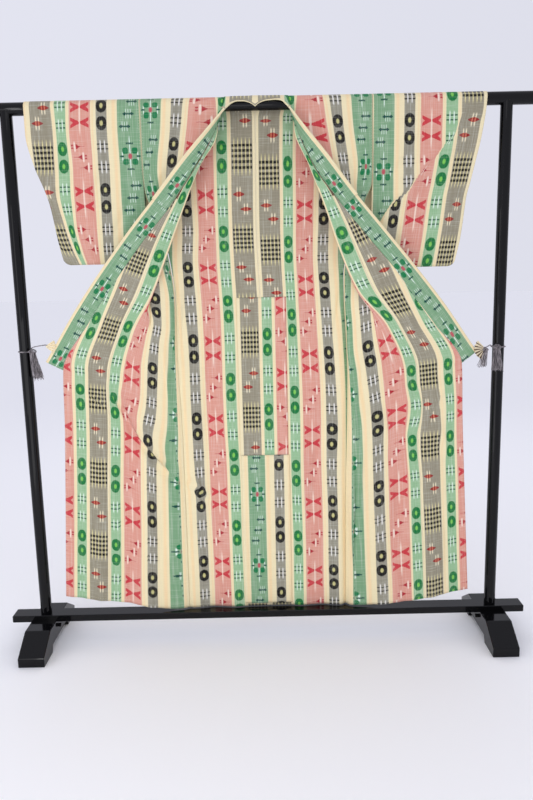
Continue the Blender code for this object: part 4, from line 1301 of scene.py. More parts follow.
@dataclass(frozen=True)
class TsumugiFinish:
    """Slubbed silk woven in stripes, with small marks dyed into the yarn before weaving.

    The first two grains are the threads along and across, and the next two their thick places, each as
    its fineness across and along. The shakes are how far those move the marks across and along.
    """

    cream: Colour = (242, 228, 186)
    peach: Colour = (247, 218, 168)
    pale_thread: Colour = (238, 240, 226)
    pale_mark: Colour = (238, 236, 220)
    peach_bands: tuple[tuple[float, float], ...] = ((0.001, 0.005), (0.081, 0.083), (0.126, 0.128),
                                                    (0.197, 0.201), (0.253, 0.262), (0.328, 0.331))
    grey_check: Stripe = Stripe(0.017, 0.078, (149, 142, 121))
    green_ring: Stripe = Stripe(0.089, 0.122, (150, 190, 145))
    pink: Stripe = Stripe(0.132, 0.193, (222, 156, 138))
    black_ring: Stripe = Stripe(0.209, 0.239, (149, 145, 128))
    flower: Stripe = Stripe(0.267, 0.325, (124, 165, 125))
    green_rings: RingMarks = RingMarks((14, 118, 58), (124, 200, 84), (226, 242, 226), (14, 84, 58))
    black_rings: RingMarks = RingMarks((14, 11, 9), (200, 194, 130), (238, 236, 228), (14, 12, 12))
    warp: tuple[float, float] = (1100.0, 14.0)
    weft: tuple[float, float] = (22.0, 900.0)
    streak: tuple[float, float] = (560.0, 8.0)
    bar: tuple[float, float] = (16.0, 430.0)
    shake: tuple[float, float] = (0.0016, 0.022)

    def build(self) -> bpy.types.Material:
        """Make the material.

        Returns:
            The material.
        """
        graph = Graph.of_material("tsumugi_cloth_finish")
        w, count = graph.cut_place()
        length = count * REPEAT
        warp = graph.grain(graph.vector(w * self.warp[0], length * self.warp[1]), 1.0)
        weft = graph.grain(graph.vector(w * self.weft[0], length * self.weft[1]), 1.0)
        streak = graph.grain(graph.vector(w * self.streak[0], length * self.streak[1], 3.7), 1.0)
        bar = graph.grain(graph.vector(w * self.bar[0], length * self.bar[1], 8.1), 1.0)
        w = w + (weft - 0.5) * self.shake[0]
        count = count + (warp - 0.5) * self.shake[1]
        even = ((count + 0.5).fraction() - 0.5) * REPEAT
        odd = (count.fraction() - 0.5) * REPEAT
        colour, dyed = self.ground(graph, w)
        threads = streak.above(0.60, 0.20) * 0.12 + bar.above(0.62, 0.20) * 0.09
        colour = graph.mix(threads * dyed, colour, linear(*self.pale_thread))
        for stripe, marks, main, between in (
                (self.grey_check, CheckMarks(), even, odd), (self.green_ring, self.green_rings, even, odd),
                (self.pink, ButterflyMarks(), odd, even), (self.black_ring, self.black_rings, odd, even),
                (self.flower, FlowerMarks(), even, odd)):
            for mask, shade in marks.layers(w - stripe.centre, main, between):
                colour = graph.mix(mask, colour, linear(*shade))
        colour = graph.mix(threads * dyed * 0.7, colour, linear(*self.pale_mark))
        tone = 0.80 + (warp + weft) * 0.11 + streak * 0.07 + bar * 0.09
        graph.bump((warp + weft) * 0.5 + streak * 0.4 + bar * 0.5, 0.0004, 0.45)
        roughness = 0.72 + streak * 0.2
        return graph.finish(Base_Color=graph.scaled(colour, tone), Roughness=roughness, Sheen_Weight=0.1,
                            Specular_IOR_Level=0.25)

    def ground(self, graph: Graph, w: Field) -> tuple[Field, Field]:
        """Lay the peach bands and the coloured stripes on the cream ground.

        Args:
            graph: the material's nodes.
            w: the place across the bolt.
        Returns:
            The colour, and a mask of the dyed stripes.
        """
        bands = [w.between(low, high, 0.005) for low, high in self.peach_bands]
        colour = graph.mix(added(bands) * 0.8, linear(*self.cream), linear(*self.peach))
        insides = []
        for stripe in (self.grey_check, self.green_ring, self.pink, self.black_ring, self.flower):
            inside = w.between(stripe.start, stripe.end, 0.0016)
            colour = graph.mix(inside, colour, linear(*stripe.colour))
            insides.append(inside)
        return colour, added(insides)


@dataclass(frozen=True)
class LacquerFinish:
    """Black lacquer on wood, glossy with the faint ripple of a brushed coat."""

    colour: Colour = (5, 5, 7)
    cloudy: Colour = (11, 10, 10)
    ripple: Place = (30.0, 30.0, 6.0)

    def build(self) -> bpy.types.Material:
        """Make the material.

        Returns:
            The material.
        """
        graph = Graph.of_material("black_lacquer_finish")
        cloud = graph.grain(graph.spot(self.ripple), 3.0)
        colour = graph.mix(cloud * 0.35, linear(*self.colour), linear(*self.cloudy))
        graph.bump(cloud, 0.0004, 0.12)
        return graph.finish(Base_Color=colour, Roughness=0.10 + cloud * 0.12, Specular_IOR_Level=0.03,
                            Coat_Weight=0.45, Coat_Roughness=0.05)


@dataclass(frozen=True)
class YarnFinish:
    """Twisted or gathered silk, with fine threads and, on its pleats, painted shade in the valleys between
    them.
    """

    name: str
    dark: Colour
    light: Colour
    fineness: float = 900.0
    paint_pleat_shade: bool = False

    def build(self) -> bpy.types.Material:
        """Make the material.

        Returns:
            The material.
        """
        graph = Graph.of_material(self.name)
        thread = graph.grain(graph.spot((self.fineness, self.fineness, self.fineness * 0.12)), 2.0)
        light = thread.above(0.5, 0.3)
        if self.paint_pleat_shade:
            # Painted shade: the colour is darkened in the valleys of the gathered pleats, every 0.08 along
            # the cut map.
            painted_valley_shade = graph.cut_place()[1].nearest(0.08).below(0.014, 0.008)
            light = (light * 0.2 + 0.8) * (1.0 - painted_valley_shade)
        colour = graph.mix(light, linear(*self.dark), linear(*self.light))
        graph.bump(thread, 0.0003, 0.4)
        return graph.finish(Base_Color=colour, Roughness=0.55 + thread * 0.3, Sheen_Weight=0.1)


@dataclass(frozen=True)
class FloorFinish:
    """A plain pale floor."""

    colour: Colour = (254, 254, 255)

    def build(self) -> bpy.types.Material:
        """Make the material."""
        graph = Graph.of_material("pale_floor_finish")
        return graph.finish(Base_Color=linear(*self.colour), Roughness=0.9)


@dataclass
class Wardrobe:
    """Every finish, built once and shared by the pieces."""

    cloth: bpy.types.Material
    lacquer: bpy.types.Material
    cord: bpy.types.Material
    thread: bpy.types.Material
    lining: bpy.types.Material
    floor: bpy.types.Material

    @classmethod
    def make(cls) -> "Wardrobe":
        """Build the finishes.

        Returns:
            The wardrobe.
        """
        return cls(
            cloth=TsumugiFinish().build(),
            lacquer=LacquerFinish().build(),
            cord=YarnFinish("tie_cord_finish", (40, 36, 39), (176, 168, 170), 380.0).build(),
            thread=YarnFinish("sewing_thread_finish", (206, 190, 152), (246, 236, 208), 3000.0).build(),
            # The lining's dark colour is both the dark of its threads and the painted shade of its pleat
            # valleys.
            lining=YarnFinish("collar_lining_painted_shade_finish", (70, 46, 24), (254, 240, 204), 500.0, True).build(),
            floor=FloorFinish().build(),
        )


def grid_sheet(name: str, rows: Sequence[Row], cut: Sequence[Marks], material: bpy.types.Material,
               thickness: float = SHELL) -> bpy.types.Object:
    """Make a thin sheet on a grid of points, with its cut map.

    Args:
        name: the piece's name.
        rows: rows of points, all of one length.
        cut: for each point, its place across the bolt and its count of repeats along it.
        material: the finish.
        thickness: the thickness of the cloth.
    Returns:
        The piece.
    """
    columns = len(rows[0])
    faces = []
    for i in range(len(rows) - 1):
        for j in range(columns - 1):
            a = i * columns + j
            faces.append((a, a + 1, a + columns + 1, a + columns))
    mesh = bpy.data.meshes.new(name)
    mesh.from_pydata([p for row in rows for p in row], [], faces)
    places = [mark for marks in cut for mark in marks]
    layer = mesh.uv_layers.new(name="Cut")
    layer.data.foreach_set("uv", [part for loop in mesh.loops for part in places[loop.vertex_index]])
    mesh.shade_smooth()
    mesh.materials.append(material)
    piece = bpy.data.objects.new(name, mesh)
    bpy.context.scene.collection.objects.link(piece)
    if thickness:
        wall = piece.modifiers.new("Thickness", "SOLIDIFY")
        wall.thickness = thickness
        wall.offset = 0.0
        wall.use_rim = True
    return piece


def worn(piece: bpy.types.Object, slot: str, *nodes: str) -> bpy.types.Object:
    """Let a piece stand for its solids, which are hidden, and hang it on the root body.

    Args:
        piece: the piece.
        slot: the record's material slot; not used.
        nodes: the solids.
    Returns:
        The piece.
    """
    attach(piece, "root")
    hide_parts(*nodes)
    LOG.info("made %s", piece.name)
    return piece


@dataclass
class BodyPanel:
    """A body panel, its okumi and its sleeve, on one side."""

    drape: Drape
    wardrobe: Wardrobe
    columns: int = 80
    row_step: float = 0.008
    okumi_columns: int = 36
    sleeve_columns: int = 100

    def build(self) -> None:
        """Make the three sheets."""
        side = self.drape.side.value
        body = worn(self.body_sheet(), "tsumugi_cloth", "body_" + side)
        FRONT_LENGTH + BACK_LENGTH
        okumi = worn(self.okumi_sheet(), "tsumugi_cloth", "okumi_" + side)
        sleeve = worn(self.sleeve_sheet(), "tsumugi_cloth", "sleeve_" + side)

    def body_sheet(self) -> bpy.types.Object:
        """Make the panel from the front hem over the shoulder to the back hem.

        Returns:
            The piece.
        """
        drape, name = self.drape, "body_" + self.drape.side.value
        front = spread(FRONT_LENGTH, WRAP, round((FRONT_LENGTH - WRAP) / self.row_step))
        turn = spread(WRAP, -WRAP, 14)[1:]
        back = spread(-WRAP, -BACK_LENGTH, round((BACK_LENGTH - WRAP) / self.row_step))[1:]
        rows, cut = [], []
        for v in front + turn + back:
            phase = repeats_at(name, v)
            if v >= 0:
                inner = max(edge_u(v), OKUMI_U + SEAM_GAP / 2) if v >= OKUMI_TIP else edge_u(v)
                places = spread(FRONT_U[0], inner, self.columns)
                rows.append([drape.front(u, v) for u in places])
                cut.append([(drape.front_w(u, v), phase - drape.front_shift(u, v)) for u in places])
                continue
            row, marks = self.back_row(-v)
            rows.append(row)
            cut.append([(w, phase) for w in marks])
        return grid_sheet(name + "_cloth", rows, cut, self.wardrobe.cloth)

    def back_row(self, depth: float) -> tuple[Row, list[float]]:
        """Make one row behind the shoulder fold.

        Args:
            depth: the cut length below the shoulder fold.
        Returns:
            The points, and their places across the bolt.
        """
        drape = self.drape
        shares = spread(1.0, 0.0, self.columns)
        y, z = wrap(-depth)
        first = drape.back_x(0, depth)
        if depth >= NECK_DROP:
            row = [drape.back_point(share, depth) for share in shares]
            outs = [drape.back_x(share, depth) for share in shares]
        else:
            inner, outer = max(drape.neck_x(depth), first), drape.side_x(depth)
            outs = [inner + (outer - inner) * share for share in shares]
            row = [drape.place(x, y, z) for x in outs]
        behind = grow(depth, 0.0, 0.06)
        marks = []
        for x in outs:
            shoulder = SHOULDER_W - (SHOULDER_X - x) * 1.02
            marks.append(behind * drape.back_w(x - first, depth) + (1 - behind) * shoulder)
        return row, marks

    def okumi_sheet(self) -> bpy.types.Object:
        """Make the overlap panel.

        Returns:
            The piece.
        """
        name = "okumi_" + self.drape.side.value
        first = OKUMI_U - SEAM_GAP / 2
        across = tuple(zip(*OKUMI_ACROSS[self.drape.side.value]))
        rows, cut = [], []
        for v in spread(OKUMI_TOP, FRONT_LENGTH, round((FRONT_LENGTH - OKUMI_TOP) / self.row_step)):
            places = spread(first, edge_u(v), self.okumi_columns)
            phase = repeats_at(name, v)
            rows.append([self.drape.front(u, v) for u in places])
            cut.append([(straight(across, u), phase) for u in places])
        return grid_sheet(name + "_cloth", rows, cut, self.wardrobe.cloth)

    def sleeve_sheet(self) -> bpy.types.Object:
        """Make the sleeve, folded over the bar.

        Returns:
            The piece.
        """
        drape, name = self.drape, "sleeve_" + self.drape.side.value
        hang = spread(drape.sleeve_length, WRAP, round((drape.sleeve_length - WRAP) / self.row_step))
        stations = hang + spread(WRAP, -WRAP, 14)[1:] + [-v for v in reversed(hang)][1:]
        rows, cut = [], []
        for v in stations:
            phase = repeats_at(name, v)
            row = [drape.sleeve_point(share, v) for share in spread(0.0, 1.0, self.sleeve_columns)]
            rows.append(row)
            cut.append([(drape.sleeve_w(drape.sign * p.x, v), phase) for p in row])
        return grid_sheet(name + "_cloth", rows, cut, self.wardrobe.cloth)


@dataclass
class Collar:
    """The collar band and the cover round its neck.

    The band bellies out between its seam and its free edge. Its stripes are cut from the bolt's last
    one, drawn in by stretch, and round the back of the neck, up to neck_end, from the bolt's first.
    """

    left: Drape
    right: Drape
    wardrobe: Wardrobe
    across: int = 16
    step: float = 0.006
    band_wall: float = 0.0014
    belly: float = 0.0018
    ripple: float = 0.0012
    edge_w: float = SELVEDGE - 0.001
    stretch: float = 1.22
    neck_end: float = 0.045
    neck_edge_w: float = 0.0865

    def build(self) -> None:
        """Make both sheets."""
        collar = worn(self.band(), "tsumugi_cloth", "collar")
        cover = worn(self.cover(), "tsumugi_cloth", "over_collar")

    def stations(self, last: float) -> list[float]:
        """Return the cut lengths of the sections from the middle of the neck to an end."""
        neck = spread(-NECK_DROP, 0.06, 26)
        return neck + spread(0.06, last, round((last - 0.06) / self.step))[1:]

    def section(self, drape: Drape, v: float) -> Row:
        """Make one section of the collar.

        Args:
            drape: the half that it is on.
            v: the cut length from the shoulder fold, positive in front.
        Returns:
            Its points, from the seam to the free edge.
        """
        sewn, free = drape.sewn_edge(v), drape.free_edge(v)
        laid_over = 1 - grow(v, 0.260, 0.340)
        start_gap = SEAM_GAP + laid_over * (COLLAR_THICK + CLOTH) / 2
        near_bar = 1 - grow(v, 0.030, 0.060)
        ends = []
        for point in (sewn, free):
            y, z = point.y, point.z - BAR_Z
            ends.append((point.x, math.atan2(-y, z), math.hypot(y, z)))
        (x0, angle0, radius0), (x1, angle1, radius1) = ends
        radius0 = max(radius0, COLLAR_RADIUS)
        row = []
        for share in spread(start_gap / (free - sewn).length, 1.0, self.across):
            flat = sewn.lerp(free, share)
            flat.y -= math.sin(math.pi * share) * self.belly
            radius = max(radius0 + (radius1 - radius0) * share ** 3, COLLAR_RADIUS)
            angle = angle0 + (angle1 - angle0) * share
            x = x0 + (x1 - x0) * share
            bent = Vector((x, -radius * math.sin(angle), BAR_Z + radius * math.cos(angle)))
            point = flat.lerp(bent, near_bar)
            loose = grow(v, 0.06, 0.12) * share
            point.y -= self.ripple * loose * drape.waver(share * 0.05, v * 2.2, 3.3)
            row.append(point)
        return row

    def rows(self, last: float, kind: str) -> tuple[list[Row], list[Marks]]:
        """Make the sections from the left end round the neck to the right end.

        Args:
            last: the cut length of both ends.
            kind: how its tables of repeats are named.
        Returns:
            The sections, and their cut map.
        """
        halves = []
        for drape, name in ((self.left, kind + "_left"), (self.right, kind + "_right")):
            half = []
            for v in self.stations(last):
                row = self.section(drape, v)
                width = (row[-1] - row[0]).length
                inward = [width * (1 - j / self.across) for j in range(self.across + 1)]
                phase = repeats_at(name, v)
                marks = [(self.edge_w - d * self.stretch, phase) for d in inward]
                if v < self.neck_end:
                    marks = [(BACK_W + abs(p.x + 0.003), (d - COLLAR_FLAT[0]) / REPEAT)
                             for p, d in zip(row, inward)]
                    marks[-1] = (self.neck_edge_w, marks[-1][1])
                half.append((row, marks))
            halves.append(half)
        left, right = halves
        middle = [(a + b) / 2 for a, b in zip(left[0][0], right[0][0])]
        rows = [row for row, _ in reversed(left[1:])] + [middle] + [row for row, _ in right[1:]]
        cut = [marks for _, marks in reversed(left[1:])] + [left[0][1]] + [marks for _, marks in right[1:]]
        return rows, cut

    def band(self) -> bpy.types.Object:
        """Make the collar band, folded double."""
        rows, cut = self.rows(COLLAR_END, "collar")
        return grid_sheet("collar_cloth", rows, cut, self.wardrobe.cloth, self.band_wall)

    def cover(self) -> bpy.types.Object:
        """Make the cover that wraps the free edge round the neck.

        Returns:
            The piece.
        """
        base, cut = self.rows(OVER_COLLAR_END, "over")
        half = self.stations(OVER_COLLAR_END)
        lifts = [NECK_COVER_LIFT + (COVER_LIFT - 0.0006 - NECK_COVER_LIFT) * grow(v, 0.0, 0.05)
                 for v in list(reversed(half[1:])) + half]
        rows, marks = [], []
        for i, row in enumerate(base):
            front, behind, places = [], [], []
            for j in range(1, self.across + 1):
                normal = self.facing(base, i, j)
                front.append(row[j] + normal * lifts[i])
                behind.append(row[j] - normal * lifts[i])
                places.append(cut[i][j])
            normal = self.facing(base, i, self.across)
            outward = (row[-1] - row[-2]).normalized()
            edge = []
            for k in (1, 2, 3):
                angle = math.pi * k / 4
                round_edge = normal * lifts[i] * math.cos(angle) + outward * lifts[i] * math.sin(angle)
                edge.append(row[-1] + round_edge)
            last_w, last_count = places[-1]
            past = [(last_w + 0.001 * k, last_count) for k in (1, 2, 1)]
            rows.append(front + edge + list(reversed(behind)))
            marks.append(places + past + list(reversed(places)))
        return grid_sheet("over_collar_cloth", rows, marks, self.wardrobe.cloth)

    @staticmethod
    def facing(rows: Sequence[Row], i: int, j: int) -> Vector:
        """Return the normal of a grid at one of its points, from the faces round it.

        Args:
            rows: the grid's rows of points.
            i: the point's row.
            j: the point's place in the row.
        Returns:
            The unit normal.
        """
        total = Vector()
        for row in (i - 1, i):
            for column in (j - 1, j):
                if 0 <= row < len(rows) - 1 and 0 <= column < len(rows[0]) - 1:
                    down = rows[row + 1][column + 1] - rows[row][column]
                    up = rows[row + 1][column] - rows[row][column + 1]
                    total += up.cross(down).normalized()
        return total.normalized()


@dataclass
class SeatStrips:
    """The strips over the centre back seam, on the inside of the back.

    They are lifted off the back, and a little less along their sides, where edge_drop brings them down.
    """

    left: Drape
    right: Drape
    wardrobe: Wardrobe
    columns: int = 26
    stations: int = 70
    lift: float = 0.0018
    edge_drop: float = 0.0006
    edge_width: float = 0.004

    def build(self) -> None:
        """Make both strips."""
        upper = self.strip("seat_strip_upper", (0.566, 1.0440), (-0.073, 0.074), UPPER_STRIP_ACROSS)
        lower = self.strip("seat_strip_lower", (1.0447, 1.5255), (-0.0715, 0.078), LOWER_STRIP_ACROSS)

    def strip(self, name: str, ends: tuple[float, float], sides: tuple[float, float],
              across: tuple[Sequence[float], Sequence[float]]) -> bpy.types.Object:
        """Make one strip from the back's points moved out.

        Args:
            name: the node it stands for.
            ends: the cut lengths of its top and bottom.
            sides: how far its sides are from the middle of the rack.
            across: distances from the middle, and the places across the bolt there.
        Returns:
            The piece.
        """
        (top, bottom), (left, right) = ends, sides
        rows, cut = [], []
        for v in spread(top, bottom, self.stations):
            row = []
            for x in spread(left, right, self.columns):
                point = self.back_at(x, v)
                inside = grow(min(x - left, right - x), 0.0, self.edge_width)
                row.append(Vector((x, point.y - self.lift + self.edge_drop * (1 - inside), point.z)))
            rows.append(row)
            phase = repeats_at(name, v)
            cut.append([(straight(across, p.x), phase) for p in row])
        return worn(grid_sheet(name + "_cloth", rows, cut, self.wardrobe.cloth), "tsumugi_cloth", name)

    def back_at(self, x: float, v: float) -> Vector:
        """Return a point of the joined back.

        Args:
            x: how far to the right of the middle it is.
            v: the cut length below the shoulder fold.
        Returns:
            The point.
        """
        side = self.left if x < self.right.back["centre"](v) else self.right
        inner, outer = side.back_x(0, v), side.back_x(1, v)
        share = max(side.sign * x - inner, 0.0) / (outer - inner)
        return side.back_point(share, v)


@dataclass
class Stitching:
    """The running stitches of one half: okumi seam, collar seam, sleeve seam and hems."""

    drape: Drape
    wardrobe: Wardrobe
    pitch: float = 0.0075
    length: float = 0.0032
    width: float = 0.00045
    proud: float = 0.0007

    def build(self) -> None:
        """Make the stitches of every seam as one piece."""
        drape = self.drape
        half = drape.sleeve_length
        seams = (
            [drape.front(OKUMI_U + 0.0030, v) for v in spread(0.360, FRONT_LENGTH - 0.004, 150)],
            [drape.front(edge_u(v) + 0.0035, v) for v in spread(0.360, COLLAR_END, 80)],
            [drape.front(edge_u(v) + 0.0045, v)
             for v in spread(COLLAR_END + 0.010, FRONT_LENGTH - 0.004, 80)],
            [drape.front(u, FRONT_LENGTH - 0.009) for u in spread(0.302, -0.072, 60)],
            [drape.front(0.3060, v) for v in spread(0.040, 0.240, 30)],
            [drape.sleeve_point(0.014, v) for v in spread(0.040, 0.220, 30)],
            [drape.sleeve_point(share, half - 0.010) for share in spread(0.02, 0.88, 50)],
            [drape.back_point(0.012, v) for v in spread(0.060, 0.550, 70)],
            [drape.back_point(share, BACK_LENGTH - 0.009) for share in spread(0.03, 0.97, 40)],
        )
        verts, faces = [], []
        for seam in seams:
            self.sew(seam, verts, faces)
        mesh = bpy.data.meshes.new("seam_stitches_" + drape.side.value)
        mesh.from_pydata(verts, [], faces)
        mesh.materials.append(self.wardrobe.thread)
        piece = bpy.data.objects.new(mesh.name, mesh)
        bpy.context.scene.collection.objects.link(piece)
        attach(piece, "root")
        LOG.info("made %s", piece.name)

    def sew(self, seam: Sequence[Vector], verts: list[Vector], faces: list[tuple[int, ...]]) -> None:
        """Lay stitches along one seam, on the side towards the viewer.

        Args:
            seam: points along the seam.
            verts: the piece's points, added to.
            faces: the piece's faces, added to.
        """
        travelled = [0.0]
        for a, b in zip(seam, seam[1:]):
            travelled.append(travelled[-1] + (b - a).length)
        for k in range(int(travelled[-1] / self.pitch)):
            ends = [k * self.pitch, k * self.pitch + self.length]
            start, end = (through(travelled, seam, at) for at in ends)
            ahead = (end - start).normalized()
            across = ahead.cross(Vector((0, 1, 0))).normalized() * self.width / 2
            middle = (start + end) / 2 + Vector((0, -self.proud, 0))
            reach = ahead * self.length * 0.3
            first = len(verts)
            for point in (start, middle - reach, middle + reach, end):
                verts.extend((point + across, point - across))
            for a in (0, 2, 4):
                faces.append((first + a, first + a + 1, first + a + 3, first + a + 2))
            faces.append((first, first + 2, first + 4, first + 6))
            faces.append((first + 7, first + 5, first + 3, first + 1))
            faces.append((first + 6, first + 7, first + 1, first))


def strands(name: str, lines: Sequence[Row], radius: float, roundness: int,
            material: bpy.types.Material) -> bpy.types.Object:
    """Make a piece of round strands.

    Args:
        name: the piece's name.
        lines: the points that each strand follows.
        radius: the strands' radius.
        roundness: how finely a strand is rounded.
        material: the finish.
    Returns:
        The piece.
    """
    curve = bpy.data.curves.new(name, "CURVE")
    curve.dimensions = "3D"
    for line in lines:
        spline = curve.splines.new("POLY")
        spline.points.add(len(line) - 1)
        for knot, point in zip(spline.points, line):
            knot.co = (*point, 1)
    curve.bevel_depth = radius
    curve.bevel_resolution = roundness
    curve.use_fill_caps = True
    curve.materials.append(material)
    piece = bpy.data.objects.new(name, curve)
    bpy.context.scene.collection.objects.link(piece)
    return piece


@dataclass(frozen=True)
class Tassel:
    """A tassel: a bound head, and a bunch of strands that hang from it and lean a little.

    The place is that of the head's top.
    """

    name: str
    place: Place
    radius: float
    head: float
    length: float
    lean: float
    rings: int
    strands_a_ring: int
    strand_radius: float = 0.00065
    sway: float = 0.0042
    turns: int = 7

    def build(self, material: bpy.types.Material) -> bpy.types.Object:
        """Make the strands and the turns that bind the head.

        Args:
            material: the finish.
        Returns:
            The piece.
        """
        x, y, top = self.place
        neck = top - self.head
        lines = []
        for ring in range(self.rings):
            count = max(self.strands_a_ring * ring, 1)
            for k in range(count):
                angle = 2 * math.pi * k / count + ring
                start = self.radius * 0.92 * ring / (self.rings - 1)
                sway = noise.noise(Vector((k * 1.7, ring * 3.1, x * 50)))
                drop = (self.length - self.head) * (0.95 + 0.16 * sway)
                line = []
                for share in spread(0.0, 1.0, 7):
                    wave = self.sway * sway * share * math.sin(5 * share + k)
                    out = start * (0.80 + 0.75 * share) + wave
                    line.append(Vector((x + out * math.cos(angle) + self.lean * share ** 1.5,
                                        y + out * math.sin(angle), neck + 0.002 - drop * share)))
                lines.append(line)
        for turn in range(self.turns):
            share = turn / (self.turns - 1)
            bulge = 0.78 + 0.32 * math.sin(math.pi * min(share * 0.8 + 0.12, 1.0))
            wide = self.radius * bulge * (1.0 - 0.5 * share ** 3)
            height = neck + self.head * 0.78 * share
            lines.append([Vector((x + wide * math.cos(angle), y + wide * math.sin(angle), height))
                          for angle in spread(0.0, 2 * math.pi, 20)])
        return strands(self.name + "_strands", lines, self.strand_radius, 1, material)


@dataclass
class Tie:
    """One tie: the gathered collar end, the cord to the post, its loop, and its tassels.

    The cord runs from the loop's knot over hang to grip, and ends inside the gather. The fan gives the
    gather's first and last angle in degrees, and shade_step how far apart along the fan the painted shade of
    its valleys falls.
    """

    drape: Drape
    wardrobe: Wardrobe
    loop_z: float
    hang: Place
    grip: Place
    pleats: int
    fan: tuple[float, float]
    tassels: tuple[Tassel, ...]
    shade_step: float = 0.010
    loop_radius: float = 0.0020
    loop_opening: float = 4.0
    knot_gap: float = 0.0012
    inside: tuple[float, float] = (0.009, 0.003)
    cord_radius: float = 0.0016
    cord_lay: float = 0.009
    gather_off: Place = (-0.0022, -0.0020, -0.0035)
    gather_hole: float = 0.003
    gather_reach: float = 0.030
    gather_fold: float = 0.0034

    def build(self) -> None:
        """Make every piece of the tie."""
        side, sign = self.drape.side.value, self.drape.sign
        ring = POST_RADIUS + FIT_GAP + self.loop_radius
        opening = math.radians(self.loop_opening)
        loop = [Vector((sign * (POST_X - ring * math.cos(angle)), -ring * math.sin(angle), self.loop_z))
                for angle in spread(opening, 2 * math.pi - opening, 60)]
        worn(self.plied("tie_loop_" + side + "_cord", loop, self.loop_radius), "tie_cord", "tie_loop_" + side)
        knot = self.drape.place(POST_X - ring - self.knot_gap, 0.0, self.loop_z)
        inside = self.drape.place(self.grip[0] - self.inside[0], self.grip[1] - self.inside[1], self.grip[2])
        ends = (knot, self.drape.place(*self.hang), self.drape.place(*self.grip), inside)
        path = [through((0.0, 0.35, 0.85, 1.0), ends, t) for t in spread(0.0, 1.0, 56)]
        worn(self.plied("tie_cord_" + side + "_cord", path, self.cord_radius), "tie_cord", "tie_cord_" + side)
        worn(self.gather(), "collar_lining", "collar_pinch_" + side)
        for tassel in self.tassels:
            worn(tassel.build(self.wardrobe.cord), "tie_cord", tassel.name)

    def plied(self, name: str, path: Row, radius: float) -> bpy.types.Object:
        """Make a cord of three strands twisted round a path.

        Args:
            name: the piece's name.
            path: the points that it follows.
            radius: the cord's radius.
        Returns:
            The piece.
        """
        lines = []
        for k in range(3):
            line, length = [], 0.0
            for i, point in enumerate(path):
                ahead = path[min(i + 1, len(path) - 1)] - path[max(i - 1, 0)]
                side = ahead.cross(Vector((0.1, 0.2, 1.0))).normalized()
                up = side.cross(ahead).normalized()
                if i:
                    length += (point - path[i - 1]).length
                angle = 2 * math.pi * (k / 3 + length / self.cord_lay)
                line.append(point + (side * math.cos(angle) + up * math.sin(angle)) * radius * 0.48)
            lines.append(line)
        return strands(name, lines, radius * 0.54, 2, self.wardrobe.cord)

    def gather(self) -> bpy.types.Object:
        """Make the fan of gathered collar lining.

        Returns:
            The piece.
        """
        middle = self.drape.place(*(a + b for a, b in zip(self.grip, self.gather_off)))
        first, last = self.fan
        shares = spread(0.0, 1.0, 8)
        rows, cut = [], []
        turns = 8 * self.pleats
        for k in range(turns + 1):
            angle = math.radians(first + (last - first) * k / turns)
            fold = -self.gather_fold * math.cos(2 * math.pi * k / 8)
            row = []
            for share in shares:
                radius = self.gather_hole + self.gather_reach * share * (1 - 0.03 * (k % 3))
                row.append(middle + Vector((self.drape.sign * radius * math.cos(angle), fold * share,
                                            radius * math.sin(angle))))
            rows.append(row)
            # The cut map's second place sets where the lining's painted shade of the pleat valleys falls.
            cut.append([(share * 0.02, 0.02 + k * self.shade_step) for share in shares])
        name = "collar_pinch_" + self.drape.side.value
        return grid_sheet(name + "_cloth", rows, cut, self.wardrobe.lining)


@dataclass
class Rack:
    """The lacquered rack, whose solids stay as they are."""

    wardrobe: Wardrobe
    nodes: tuple[str, ...] = ("top_bar", "post_left", "post_right", "lower_rail", "foot_left", "foot_right",
                              "peg_left", "peg_right")

    def build(self, frame: dict) -> None:
        """Give the rack's solids their finish.

        Args:
            frame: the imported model.
        """
        for name in self.nodes:
            mesh = frame["nodes"][name].data
            mesh.materials.clear()
            mesh.materials.append(self.wardrobe.lacquer)
            LOG.info("finished %s", name)


@dataclass(frozen=True)
class SoftLamp:
    """A rectangular lamp that shines from one place towards another, unseen by the camera."""

    name: str
    spot: Place
    aim: Place
    wide: float
    high: float
    power: float

    def build(self) -> None:
        """Hang the lamp."""
        data = bpy.data.lights.new(self.name, "AREA")
        data.shape = "RECTANGLE"
        data.size = self.wide
        data.size_y = self.high
        data.energy = self.power
        lamp = bpy.data.objects.new(self.name, data)
        lamp.location = self.spot
        lamp.visible_camera = False
        lamp.rotation_mode = "QUATERNION"
        lamp.rotation_quaternion = (Vector(self.aim) - Vector(self.spot)).to_track_quat("-Z", "Y")
        bpy.context.scene.collection.objects.link(lamp)


